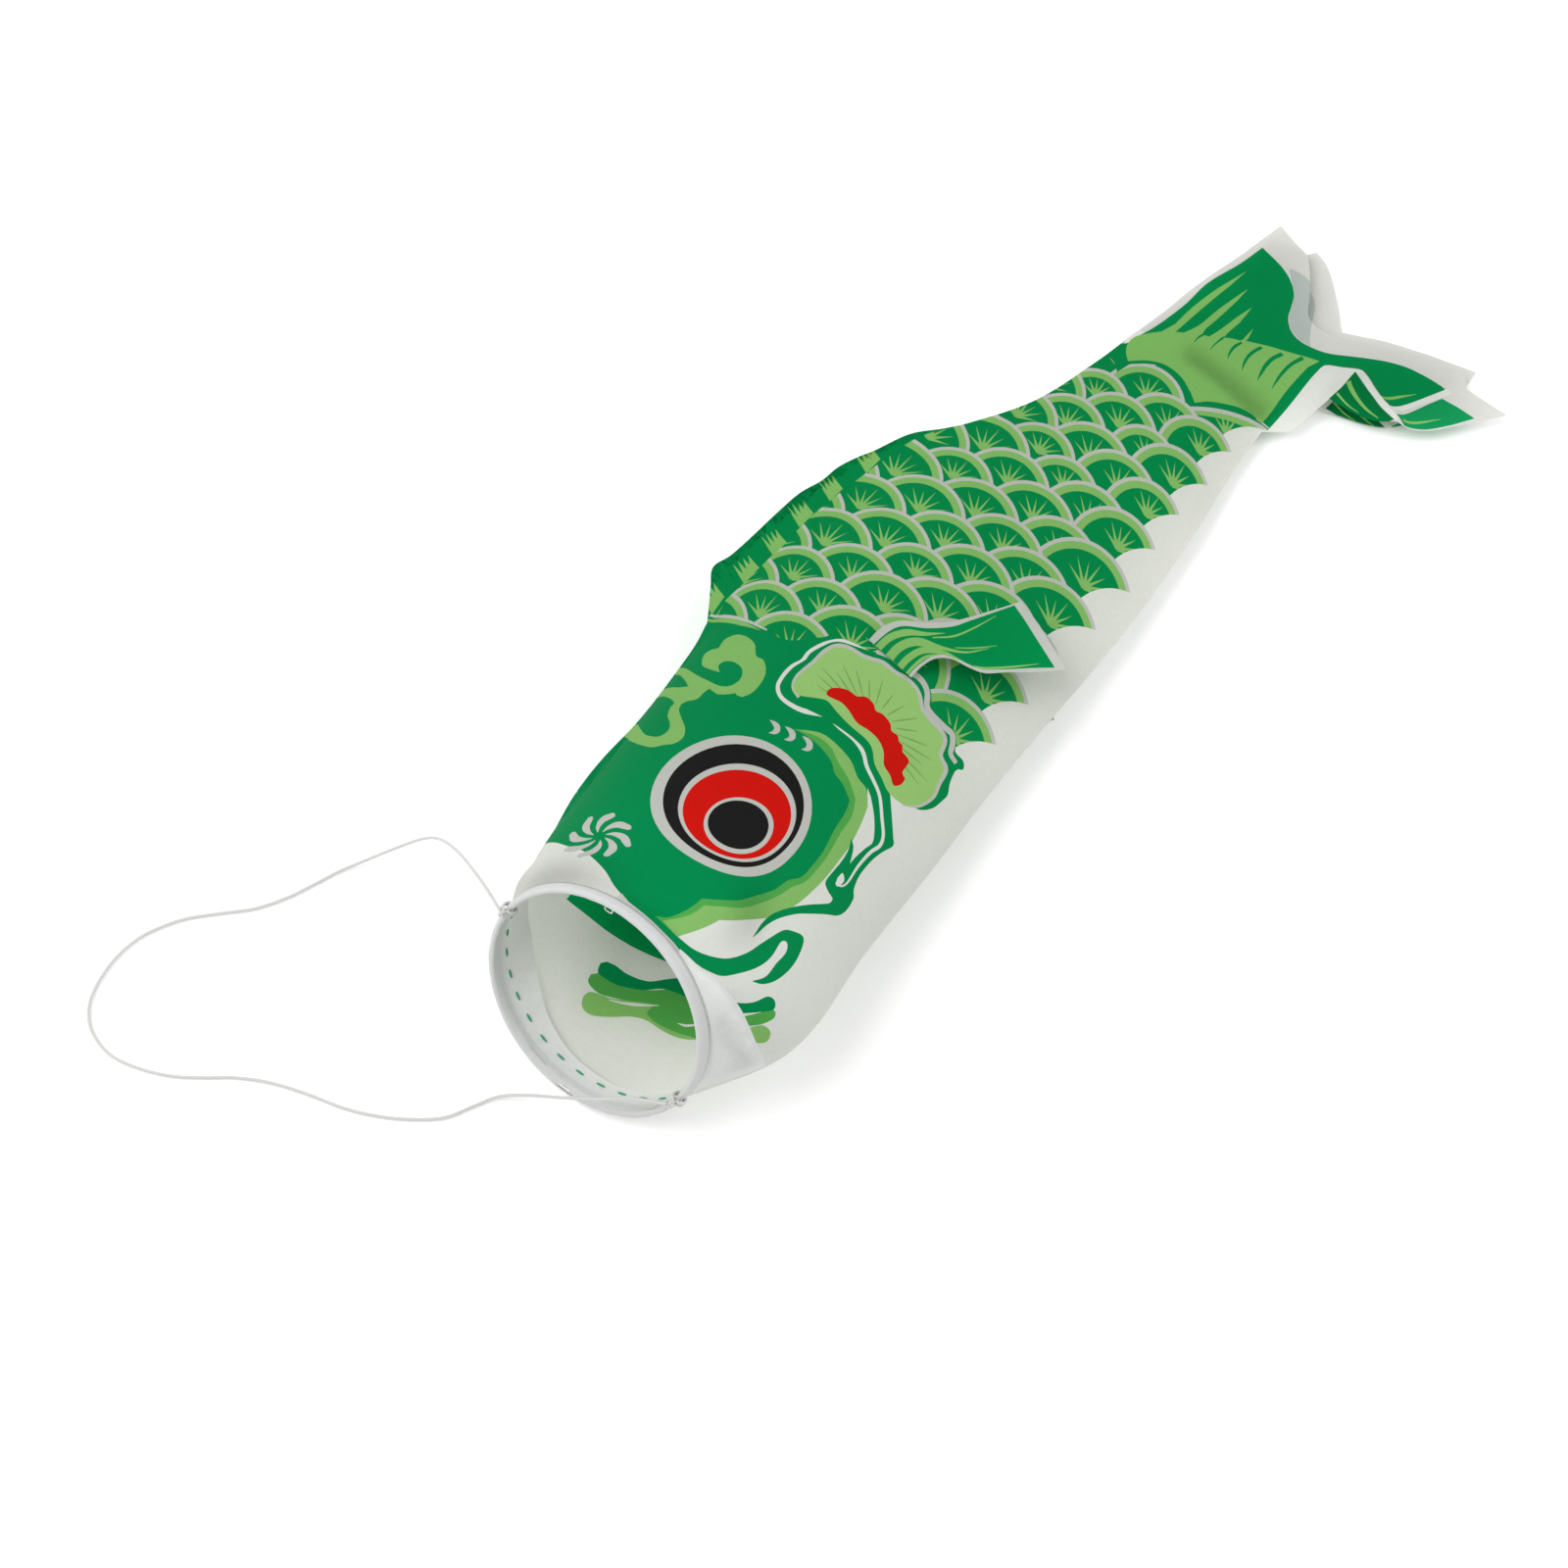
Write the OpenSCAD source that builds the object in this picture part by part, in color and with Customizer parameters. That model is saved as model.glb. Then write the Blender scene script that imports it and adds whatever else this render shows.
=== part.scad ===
// A carp streamer of 55 cm: a printed polyester fish with a hoop in its mouth and a cord bridle.
// It lies on its right side. +X points to the tail, +Y to the back and +Z up.
// The origin is on the surface, under the middle of the fish.

/* [Fish] */
// Length of the fish from the middle of the mouth to the tail's hinge line
trunk_l = 448; // [440:1:456]
// Length of the tail from the hinge line to its upper tip
tail_l = 110; // [100:1:120]
// Thickness of each cloth layer
cloth_t = 0.8; // [0.6:0.1:1]

/* [Mouth] */
// Diameter of the hoop, to the middle of its wire
hoop_d = 108; // [106:1:110]
// Diameter of the hoop's wire
wire_d = 2; // [1.5:0.1:2.4]
// Diameter of the hem that wraps the hoop
hem_d = 4.8; // [4.6:0.1:5]
// Angle that the hoop leans back
lean = 29; // [26:1:32]
// Angle that the hoop's opening is turned towards the belly
turn = 8; // [6:1:10]
// Angle from the hoop's side up to the nose, round the hoop
nose_roll = 18; // [15:1:20]
// Depth of the hem that is turned into the mouth
facing_w = 14; // [10:1:16]

/* [Bridle] */
// Diameter of the cord
cord_d = 1.5; // [1:0.1:1.6]
// Diameter of the ball of each knot
knot_d = 3.6; // [3:0.1:4]

/* [Fins] */
// Width of each pectoral fin at its root
fin_root_w = 27; // [24:1:30]
// Width of each pectoral fin at its tip
fin_tip_w = 38; // [32:1:42]
// Length of each pectoral fin
fin_l = 66; // [56:1:72]

/* [Hidden] */
$fn = 48;
mouth_x = -263;
hinge_x = mouth_x + trunk_l;
// Clearance between pieces that move against each other
gap = 0.35;
hoop_r = hoop_d / 2;
rise_at_mouth = hoop_r * cos(lean);
half_w_at_mouth = hoop_r * cos(turn);
mouth_y = -29;
mouth_z = rise_at_mouth + hem_d / 2 * (1 - sin(lean));
// Steps across a side of the fish and along it
ACROSS = 14;
ALONG = 28;

// Sections of the trunk. Each row: distance behind the mouth, y of the belly edge, y of the back edge,
// height of the edges, rise of the left side above them, drop of the right side below them,
// flatness (0 round, 1 flat), and the shares of the hoop's lean and of the nose's roll that are left.
SECTIONS = [
    [0, mouth_y - half_w_at_mouth, mouth_y + half_w_at_mouth, mouth_z, rise_at_mouth, rise_at_mouth, 0, 1, 1],
    [40, -101, 41, 44, 43, 42.4, 0.15, 0.7, 0.5],
    [98, -91, 57, 36, 35, 34.4, 0.3, 0.3, 0.1],
    [155, -82, 72, 29, 28, 27.4, 0.5, 0.08, 0],
    [193, -75, 84, 25, 23, 23.4, 0.6, 0, 0],
    [240, -68, 88, 21, 18, 19.4, 0.7, 0, 0],
    [288, -62, 86, 17, 14, 15.4, 0.8, 0, 0],
    [326, -56, 77, 14, 11, 12.4, 0.9, 0, 0],
    [383, -44, 60, 11, 8.5, 9.5, 1, 0, 0],
    [421, -34, 56, 9, 7, 7.6, 1, 0, 0],
    [448, -29, 54, 8, 6, 6.7, 1, 0, 0],
];

// How far the flat sewn margin stands out from the back edge, with the dorsal fin in it
MARGIN = [[0, 2], [60, 2.5], [150, 3], [180, 4], [193, 16], [245, 15], [290, 14], [320, 9], [350, 4], [448, 3]];

// End of the tail from its lower tip to its upper tip. Each row: share of the way across, x and y.
TAIL_END = [[0, 276, -108], [0.2, 264, -64], [0.45, 254, -22], [0.6, 252, -4], [0.75, 268, 12], [1, 290, 49]];

// The cord's route from the nose knot round to the chin knot
ROUTE = [
    [-264, 38, 61], [-260, 54, 52], [-257, 69, 42], [-256, 83, 30], [-259, 94, 18], [-270, 104, 8], [-282, 111, 3],
    [-293, 116, 1], [-305, 119, 1], [-319, 123, 1], [-332, 129, 1], [-343, 137, 1], [-357, 147, 1],
    [-371, 153, 1], [-382, 155, 1], [-394, 154, 1], [-406, 150, 1], [-415, 144, 1], [-421, 134, 1],
    [-422, 120, 1], [-417, 106, 1], [-409, 93, 1], [-399, 82, 1], [-390, 73, 1], [-381, 61, 1],
    [-373, 46, 1], [-365, 28, 1], [-357, 15, 1], [-348, 4, 1], [-337, -6, 1], [-325, -11, 1],
    [-314, -16, 2], [-305, -26, 6], [-296, -40, 13], [-287, -54, 22], [-279, -66, 31],
];

// Value of column c at position x in a table of rows, as a smooth curve through them
function row_before(x, rows, i = 0) = i >= len(rows) - 2 || x < rows[i + 1][0] ? i : row_before(x, rows, i + 1);
function slope(rows, i, c) =
    let (a = rows[max(i - 1, 0)], b = rows[min(i + 1, len(rows) - 1)]) (b[c] - a[c]) / (b[0] - a[0]);
function smooth(x, rows, c) =
    let (
        i = row_before(x, rows),
        w = rows[i + 1][0] - rows[i][0],
        t = (x - rows[i][0]) / w
    )
    rows[i][c] * (1 + 2 * t) * (1 - t) * (1 - t)
    + rows[i + 1][c] * t * t * (3 - 2 * t)
    + slope(rows, i, c) * w * t * (1 - t) * (1 - t)
    - slope(rows, i + 1, c) * w * t * t * (1 - t);

function lerp(a, b, t) = a + (b - a) * t;

// A point of the trunk: s is the distance behind the mouth, v runs from -1 at the belly to 1 at the back,
// side is 1 on the left (upper) side and -1 on the right side, inset is the depth into the cloth.
function trunk_point(s, v, side, inset = 0) =
    let (
        row = s / trunk_l * 448,
        belly = smooth(row, SECTIONS, 1),
        back = smooth(row, SECTIONS, 2),
        half_w = (back - belly) / 2 - inset,
        flat = smooth(row, SECTIONS, 6),
        left_lean = smooth(row, SECTIONS, 7),
        roll = nose_roll * smooth(row, SECTIONS, 8),
        q = (1 - flat) * sin(90 * v) + flat * v,
        h = side * pow(max(1 - q * q, 0), 0.5 + 0.5 * flat),
        y = half_w * (q * cos(roll) - h * sin(roll)),
        lift = h * cos(roll) + q * sin(roll),
        z = (smooth(row, SECTIONS, lift > 0 ? 4 : 5) - inset) * lift,
        back_shift = z * tan(lean) * left_lean
    )
    [
        mouth_x + s + back_shift * cos(turn) - y * tan(turn) * left_lean,
        (back + belly) / 2 + y + back_shift * sin(turn),
        smooth(row, SECTIONS, 3) + z
    ];

// A point of the tail: r runs from 0 at the hinge to 1 at the tail's end, across from 0 to 1.
function tail_point(r, across, side, inset = 0) =
    let (
        v = 2 * across - 1,
        root = trunk_point(trunk_l, v, side, inset),
        shift = side > 0 ? 0 : 1,
        tip = [
            hinge_x + (smooth(across, TAIL_END, 1) - 180 + 2 * shift) * tail_l / 110,
            smooth(across, TAIL_END, 2) - (across > 0.5 ? 24 * (across - 0.5) : 0) * shift,
            side > 0 ? 8.5 + 1.5 * sin(360 * across) + cloth_t - inset : inset
        ],
        ease = r * r * (3 - 2 * r)
    )
    [
        lerp(root[0] + gap, tip[0], r),
        lerp(root[1], tip[1], r * 0.75 + ease * 0.25),
        lerp(root[2], tip[2], ease)
    ];

// A solid through a list of rings with the same number of points, closed up at its ends or into a loop
module skin(rings, loop = false) {
    n = len(rings[0]);
    m = len(rings);
    sides = [
        for (i = [0:m - (loop ? 1 : 2)], j = [0:n - 1])
            let (a = i * n + j, b = i * n + (j + 1) % n, c = ((i + 1) % m) * n + j, d = ((i + 1) % m) * n + (j + 1) % n)
            each [[a, b, d], [a, d, c]]
    ];
    half = n / 2;
    cap = [for (j = [0:half - 2]) each [[j, n - 2 - j, j + 1], [j, n - 1 - j, n - 2 - j]]];
    last = (m - 1) * n;
    far_cap = [for (f = cap) [last + f[2], last + f[1], last + f[0]]];
    polyhedron(points = [for (r = rings) each r], faces = loop ? sides : concat(sides, cap, far_cap));
}

// Rings of a cloth layer between its two surfaces
function layer(outer, inner) = concat(outer, [for (i = [len(inner) - 1:-1:0]) inner[i]]);
function turned(ring) = [for (i = [len(ring) - 1:-1:0]) ring[i]];

module trunk_side(side) {
    rings = [
        for (i = [0:ALONG])
            let (
                s = (trunk_l - gap) * i / ALONG,
                ring = layer(
                    [for (j = [0:ACROSS]) trunk_point(s, 2 * j / ACROSS - 1, side)],
                    [for (j = [0:ACROSS]) trunk_point(s, 2 * j / ACROSS - 1, side, cloth_t)]
                )
            )
            side > 0 ? ring : turned(ring)
    ];
    skin(rings);
}

module tail_side(side) {
    steps = 6;
    rings = [
        for (j = [0:ACROSS])
            let (
                across = 0.015 + 0.97 * j / ACROSS,
                ring = layer(
                    [for (i = [0:steps]) tail_point(i / steps, across, side)],
                    [for (i = [0:steps]) tail_point(i / steps, across, side, cloth_t)]
                )
            )
            side > 0 ? turned(ring) : ring
    ];
    skin(rings);
}

module left_panel() {
    color("seagreen") trunk_side(1);
}

module right_panel() {
    color("mediumseagreen") trunk_side(-1);
}

module left_tail() {
    color("green") tail_side(1);
}

module right_tail() {
    color("darkseagreen") tail_side(-1);
}

// The margin where both panels are sewn together along the back, with the dorsal fin
module dorsal_margin() {
    steps = 36;
    rings = [
        for (i = [0:steps])
            let (
                s = (trunk_l - gap) * i / steps,
                p = trunk_point(s, 1, 1),
                out = smooth(s / trunk_l * 448, MARGIN, 1)
            )
            [
                p + [0, 0, -cloth_t],
                p + [0, out, -cloth_t],
                p + [0, out, cloth_t],
                p + [0, 0, cloth_t]
            ]
    ];
    color("forestgreen") skin([for (r = rings) turned(r)]);
}

// The hoop's own frame: its centre line lies in the XY plane there and +Z points out of the mouth
module at_hoop() {
    translate([mouth_x, mouth_y, mouth_z])
        rotate([0, 0, turn])
            rotate([0, lean - 90, 0])
                translate([0, 0, hem_d / 2])
                    children();
}

module hoop() {
    color("silver")
        at_hoop()
            rotate([0, 0, 184])
                rotate_extrude(angle = 352, $fn = 120)
                    translate([hoop_r, 0])
                        circle(d = wire_d);
}

// The crimped tube that joins the hoop's ends, inside the hem at the bottom
module hoop_sleeve() {
    sleeve_angle = 12;
    color("gray")
        at_hoop()
            rotate([0, 0, 180 - sleeve_angle / 2])
                rotate_extrude(angle = sleeve_angle, $fn = 120)
                    translate([hoop_r, 0])
                        difference() {
                            circle(d = wire_d + 0.8);
                            circle(d = wire_d);
                        }
}

module mouth_hem() {
    color("white")
        at_hoop()
            rotate_extrude($fn = 120)
                translate([hoop_r, 0])
                    difference() {
                        circle(d = hem_d);
                        circle(d = hem_d - 1);
                    }
}

// Thickness of the turned-in hem, and how far it lies inside the panels
facing_t = cloth_t * 0.75;
facing_gap = 0.6;

// A point of the turned-in hem, going round the mouth by an angle
function facing_point(depth, angle, inset) =
    let (side = cos(angle) >= 0 ? 1 : -1, v = side > 0 ? angle / 90 : (180 - angle) / 90)
    trunk_point(depth, v > 1 ? v - 4 : v, side, cloth_t + inset);

module mouth_facing() {
    steps = 60;
    start = 2.2;
    rings = [
        for (i = [0:steps - 1])
            let (angle = i * 360 / steps > 270 ? i * 360 / steps - 360 : i * 360 / steps)
            [
                facing_point(start, angle, facing_gap),
                facing_point(facing_w, angle, facing_gap),
                facing_point(facing_w, angle, facing_gap + facing_t),
                facing_point(start, angle, facing_gap + facing_t)
            ]
    ];
    color("whitesmoke") skin(rings, loop = true);
}

module rod(a, b, d) {
    v = b - a;
    translate(a)
        rotate([0, acos(v[2] / norm(v)), atan2(v[1], v[0])])
            cylinder(h = norm(v), d = d, $fn = 16);
}

module hem_stitches() {
    count = 30;
    depth = 5.5;
    stitch_angle = 4.4;
    thread_d = 0.5;
    on_facing = facing_gap + facing_t + thread_d * 0.7;
    color("mediumaquamarine")
        for (i = [0:count - 1]) {
            middle = i * 360 / count + 6;
            angle = middle > 270 ? middle - 360 : middle;
            if (abs(abs(angle) - 90) > 3 && abs(angle - 270) > 3)
                rod(
                    facing_point(depth, angle - stitch_angle / 2, on_facing),
                    facing_point(depth, angle + stitch_angle / 2, on_facing),
                    thread_d
                );
        }
}

// The thread that is left hanging in a loop at the rim
module rim_thread() {
    color("white")
        at_hoop()
            rotate([0, 0, 8])
                translate([hoop_r, 0, hem_d / 2 + 0.1])
                    rotate([0, 0, 90])
                        rotate([90, 0, 0])
                            translate([0, 1.9, 0])
                                rotate([0, 0, -60])
                                    rotate_extrude(angle = 300)
                                        translate([1.9, 0])
                                            circle(d = 0.5, $fn = 16);
}

// A knot on the hem: a turn of cord round it, open towards the cloth, and a ball in front, where the
// bridle's end turns
knot_out = hem_d / 2 + cord_d + knot_d / 4;
nose_angle = 90 - nose_roll;

module knot(angle) {
    color("gainsboro")
        at_hoop()
            rotate([0, 0, 180 - angle])
                translate([hoop_r, 0, 0]) {
                    rotate([90, 0, 0])
                        rotate([0, 0, -40])
                            rotate_extrude(angle = 260)
                                translate([hem_d / 2 + cord_d / 2, 0])
                                    circle(d = cord_d, $fn = 24);
                    translate([0, 0, knot_out])
                        sphere(d = knot_d);
                }
}

module nose_knot() {
    knot(nose_angle);
}

module chin_knot() {
    knot(nose_angle + 180);
}

// Directions in the hoop's plane, up and towards the back, and the direction out of the mouth
hoop_up = [sin(lean) * cos(turn), sin(lean) * sin(turn), cos(lean)];
hoop_back = [-sin(turn), cos(turn), 0];
hoop_out = [-cos(lean) * cos(turn), -cos(lean) * sin(turn), sin(lean)];
knot_line = hoop_up * cos(nose_angle) + hoop_back * sin(nose_angle);

// Middle of a knot's ball, at the nose (1) or at the chin (-1)
function ball(end) = [mouth_x, mouth_y, mouth_z] + (hem_d / 2 + knot_out) * hoop_out + end * hoop_r * knot_line;

function unit(v) = v / norm(v);

// The whole route: it starts and ends just clear of the knots
function cord_points() =
    let (
        a = ball(1),
        b = ball(-1),
        clear = knot_d / 2 + gap,
        last = ROUTE[len(ROUTE) - 1]
    )
    concat([a + clear * unit(ROUTE[0] - a)], ROUTE, [b + clear * unit(last - b)]);

// A smooth curve through points, with its middle point added in each span
function halfway(p, i) =
    let (n = len(p) - 1)
    (9 * (p[i] + p[i + 1]) - p[max(i - 1, 0)] - p[min(i + 2, n)]) / 16;
function refined(p) = [for (i = [0:len(p) - 1]) each i < len(p) - 1 ? [p[i], halfway(p, i)] : [p[i]]];

module bridle_cord() {
    sides = 8;
    path = refined(cord_points());
    last = len(path) - 1;
    rings = [
        for (i = [0:last])
            let (
                along = unit(path[min(i + 1, last)] - path[max(i - 1, 0)]),
                across = unit(cross(along, [0, 0, 1])),
                up = cross(across, along)
            )
            [for (k = [0:sides - 1]) path[i] + cord_d / 2 * (across * cos(45 * k) + up * sin(45 * k))]
    ];
    color("white") skin(rings);
}

// Pectoral fins: the root lies on the trunk, and the free end points to the tail and the belly
fin_root = [-52, 2];
fin_sweep = 38;
left_root_z = trunk_point(fin_root[0] - mouth_x, -0.03, 1)[2] + 0.6;

module fin(root_z, tip_z, bow) {
    steps = 8;
    rings = [
        for (i = [0:steps])
            let (
                r = i / steps,
                x = fin_root[0] + gap + fin_l * cos(fin_sweep) * r,
                y = fin_root[1] - fin_l * sin(fin_sweep) * r,
                half_w = lerp(fin_root_w, fin_tip_w, r) / 2,
                z = lerp(root_z, tip_z, r) + bow * sin(180 * r)
            )
            [
                [x - half_w * 0.28 * r, y - half_w, z],
                [x + half_w * 0.28 * r, y + half_w, z],
                [x + half_w * 0.28 * r, y + half_w, z + cloth_t],
                [x - half_w * 0.28 * r, y - half_w, z + cloth_t]
            ]
    ];
    skin([for (r = rings) turned(r)]);
}

module left_fin() {
    color("green") fin(left_root_z, left_root_z + 4, 3);
}

module right_fin() {
    color("green") fin(0, 0, 0);
}

// A row of stitches that holds a fin's root
module fin_stitches(z) {
    count = 6;
    for (i = [0:count - 1]) {
        y = fin_root[1] + fin_root_w * ((i + 0.5) / count - 0.5);
        rod([fin_root[0] - 1.8, y - 1.4, z], [fin_root[0] - 1.8, y + 1.4, z], 0.6);
    }
}

module left_fin_stitches() {
    color("green") fin_stitches(left_root_z);
}

module right_fin_stitches() {
    color("green") fin_stitches(1.2);
}

left_panel();
right_panel();
left_tail();
right_tail();
dorsal_margin();
hoop();
hoop_sleeve();
mouth_hem();
mouth_facing();
hem_stitches();
rim_thread();
nose_knot();
chin_knot();
bridle_cord();
left_fin();
right_fin();
left_fin_stitches();
right_fin_stitches();
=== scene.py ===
"""A carp streamer of 55 cm: printed polyester cloth, a hoop in the mouth and a cord bridle."""

import math

import bpy
import numpy as np
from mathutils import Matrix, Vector
from mathutils.geometry import delaunay_2d_cdt


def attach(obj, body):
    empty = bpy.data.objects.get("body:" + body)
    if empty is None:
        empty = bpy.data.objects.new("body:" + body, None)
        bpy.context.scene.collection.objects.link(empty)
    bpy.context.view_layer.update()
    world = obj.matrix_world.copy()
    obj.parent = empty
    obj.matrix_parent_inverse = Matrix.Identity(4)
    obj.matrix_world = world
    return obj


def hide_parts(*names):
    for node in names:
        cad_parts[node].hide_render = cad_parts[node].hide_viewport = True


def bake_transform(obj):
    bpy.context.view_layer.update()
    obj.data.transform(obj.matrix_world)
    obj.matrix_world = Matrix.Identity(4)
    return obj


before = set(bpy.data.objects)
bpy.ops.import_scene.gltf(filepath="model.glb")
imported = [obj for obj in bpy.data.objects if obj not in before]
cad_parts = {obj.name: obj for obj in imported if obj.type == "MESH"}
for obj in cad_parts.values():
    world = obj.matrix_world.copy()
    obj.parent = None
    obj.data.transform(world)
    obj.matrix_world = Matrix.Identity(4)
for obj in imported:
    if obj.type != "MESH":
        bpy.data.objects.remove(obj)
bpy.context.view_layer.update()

MM = 0.001

# Driving dimensions, in millimetres as in the CAD source
TRUNK_LENGTH = 448
MOUTH = np.array([-263.0, -29.0])
HOOP_RADIUS = 54.0
HEM_DIAMETER = 4.8
LEAN = math.radians(29)
TURN = math.radians(8)
NOSE_ROLL = math.radians(18)
FACING_START = 2.0
STITCH_DEPTH = 5.5
CORD_DIAMETER = 1.5
KNOT_DIAMETER = 3.6
CLEARANCE = 0.35
LEFT_TAIL_HEIGHT = 8.6
RIGHT_TAIL_HEIGHT = 1.2
# How far behind the trunk the tail's two layers have flattened out
TAIL_OPENING = 45
MOUTH_RISE = HOOP_RADIUS * math.cos(LEAN)
MOUTH_HALF_WIDTH = HOOP_RADIUS * math.cos(TURN)
MOUTH_HEIGHT = MOUTH_RISE + HEM_DIAMETER / 2 * (1 - math.sin(LEAN))

# Sections of the trunk: distance behind the mouth, y of belly and back, height of the edges, rise of the left
# side, drop of the right side, flatness, and the shares of the hoop's lean and of the nose's roll.
SECTIONS = np.array([
    [0, MOUTH[1] - MOUTH_HALF_WIDTH, MOUTH[1] + MOUTH_HALF_WIDTH, MOUTH_HEIGHT,
     MOUTH_RISE, MOUTH_RISE, 0, 1, 1],
    [40, -101, 41, 44, 43, 42.4, 0.15, 0.7, 0.5],
    [98, -91, 57, 36, 35, 34.4, 0.3, 0.3, 0.1],
    [155, -82, 72, 29, 28, 27.4, 0.5, 0.08, 0],
    [193, -75, 84, 25, 23, 23.4, 0.6, 0, 0],
    [240, -68, 88, 21, 18, 19.4, 0.7, 0, 0],
    [288, -62, 86, 17, 14, 15.4, 0.8, 0, 0],
    [326, -56, 77, 14, 11, 12.4, 0.9, 0, 0],
    [383, -44, 60, 11, 8.5, 9.5, 1, 0, 0],
    [421, -34, 56, 9, 7, 7.6, 1, 0, 0],
    [448, -29, 54, 8, 6, 6.7, 1, 0, 0],
], float)

# The bridle's route from the nose knot round to the chin knot
ROUTE = np.array([
    [-264, 38, 61], [-260, 54, 52], [-257, 69, 42], [-256, 83, 30], [-259, 94, 18], [-270, 104, 8],
    [-282, 111, 3], [-293, 116, 1], [-305, 119, 1], [-319, 123, 1], [-332, 129, 1], [-343, 137, 1],
    [-357, 147, 1], [-371, 153, 1], [-382, 155, 1], [-394, 154, 1], [-406, 150, 1], [-415, 144, 1],
    [-421, 134, 1], [-422, 120, 1], [-417, 106, 1], [-409, 93, 1], [-399, 82, 1], [-390, 73, 1],
    [-381, 61, 1], [-373, 46, 1], [-365, 28, 1], [-357, 15, 1], [-348, 4, 1], [-337, -6, 1],
    [-325, -11, 1], [-314, -16, 2], [-305, -26, 6], [-296, -40, 13], [-287, -54, 22], [-279, -66, 31],
], float)

# Printed colours, 8-bit sRGB, with some whites and one green that hold painted light or shade
PALETTE = {
    "belly": (227, 228, 222),
    # Greyer white of the plain cloth along the rim: the cloth's white darkened by painted shade
    "hem": (204, 205, 202),
    # Lighter white of the fold below the chin, the hem and the facing: the cloth's white lightened by painted
    # light
    "flap": (236, 237, 236),
    "face": (0, 138, 78),
    "scale": (0, 138, 74),
    "tail": (0, 118, 60),
    "light": (136, 190, 106),
    "gill": (158, 204, 120),
    "gill_line": (128, 172, 96),
    "patch": (132, 190, 102),
    "middle": (84, 168, 80),
    # The far side's green seen in the mouth, painted lighter than the face's green to lift the shade deep
    # inside
    "wedge": (0, 150, 82),
    "curl": (20, 150, 88),
    "red": (212, 22, 14),
    "black": (31, 30, 30),
    "white": (195, 196, 190),
    # Duller white behind the fish's end: the cloth's white darkened by painted shade
    "margin": (214, 214, 209),
    # Grey where the far tail layer shows through the near one: painted shade
    "through": (184, 192, 187),
}


def linear(name):
    """A palette colour as linear RGBA."""
    c = np.array(PALETTE[name]) / 255
    c = np.where(c <= 0.04045, c / 12.92, ((c + 0.055) / 1.055) ** 2.4)
    return np.append(c, 1.0)


# ---- the fish's surface


def smooth_column(x, rows, column):
    """A smooth curve through a column of a table of rows, at the positions x."""
    x = np.asarray(x, float)
    n = len(rows)
    before = np.maximum(np.arange(n) - 1, 0)
    after = np.minimum(np.arange(n) + 1, n - 1)
    slope = (rows[after, column] - rows[before, column]) / (rows[after, 0] - rows[before, 0])
    i = np.clip(np.searchsorted(rows[:, 0], x, side="right") - 1, 0, n - 2)
    w = rows[i + 1, 0] - rows[i, 0]
    t = (x - rows[i, 0]) / w
    return (
        rows[i, column] * (1 + 2 * t) * (1 - t) ** 2
        + rows[i + 1, column] * t * t * (3 - 2 * t)
        + slope[i] * w * t * (1 - t) ** 2
        - slope[i + 1] * w * t * t * (1 - t)
    )


def trunk_point(s, v, side, inset=0.0):
    """Points of the trunk: s behind the mouth, v from -1 (belly) to 1 (back), side 1 (left) or -1 (right)."""
    s, v = np.broadcast_arrays(np.asarray(s, float), np.asarray(v, float))
    belly = smooth_column(s, SECTIONS, 1)
    back = smooth_column(s, SECTIONS, 2)
    half = (back - belly) / 2 - inset
    flat = smooth_column(s, SECTIONS, 6)
    lean_left = smooth_column(s, SECTIONS, 7)
    roll = NOSE_ROLL * smooth_column(s, SECTIONS, 8)
    q = (1 - flat) * np.sin(np.pi / 2 * v) + flat * v
    h = side * np.maximum(1 - q * q, 0) ** (0.5 + 0.5 * flat)
    y = half * (q * np.cos(roll) - h * np.sin(roll))
    lift = h * np.cos(roll) + q * np.sin(roll)
    reach = np.where(lift > 0, smooth_column(s, SECTIONS, 4), smooth_column(s, SECTIONS, 5))
    z = (reach - inset) * lift
    shift = z * math.tan(LEAN) * lean_left
    return np.stack([
        MOUTH[0] + s + shift * math.cos(TURN) - y * math.tan(TURN) * lean_left,
        (back + belly) / 2 + y + shift * math.sin(TURN),
        smooth_column(s, SECTIONS, 3) + z,
    ], -1)


def ease(t):
    """A smooth step from 0 to 1."""
    t = np.clip(t, 0, 1)
    return t * t * (3 - 2 * t)


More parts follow.
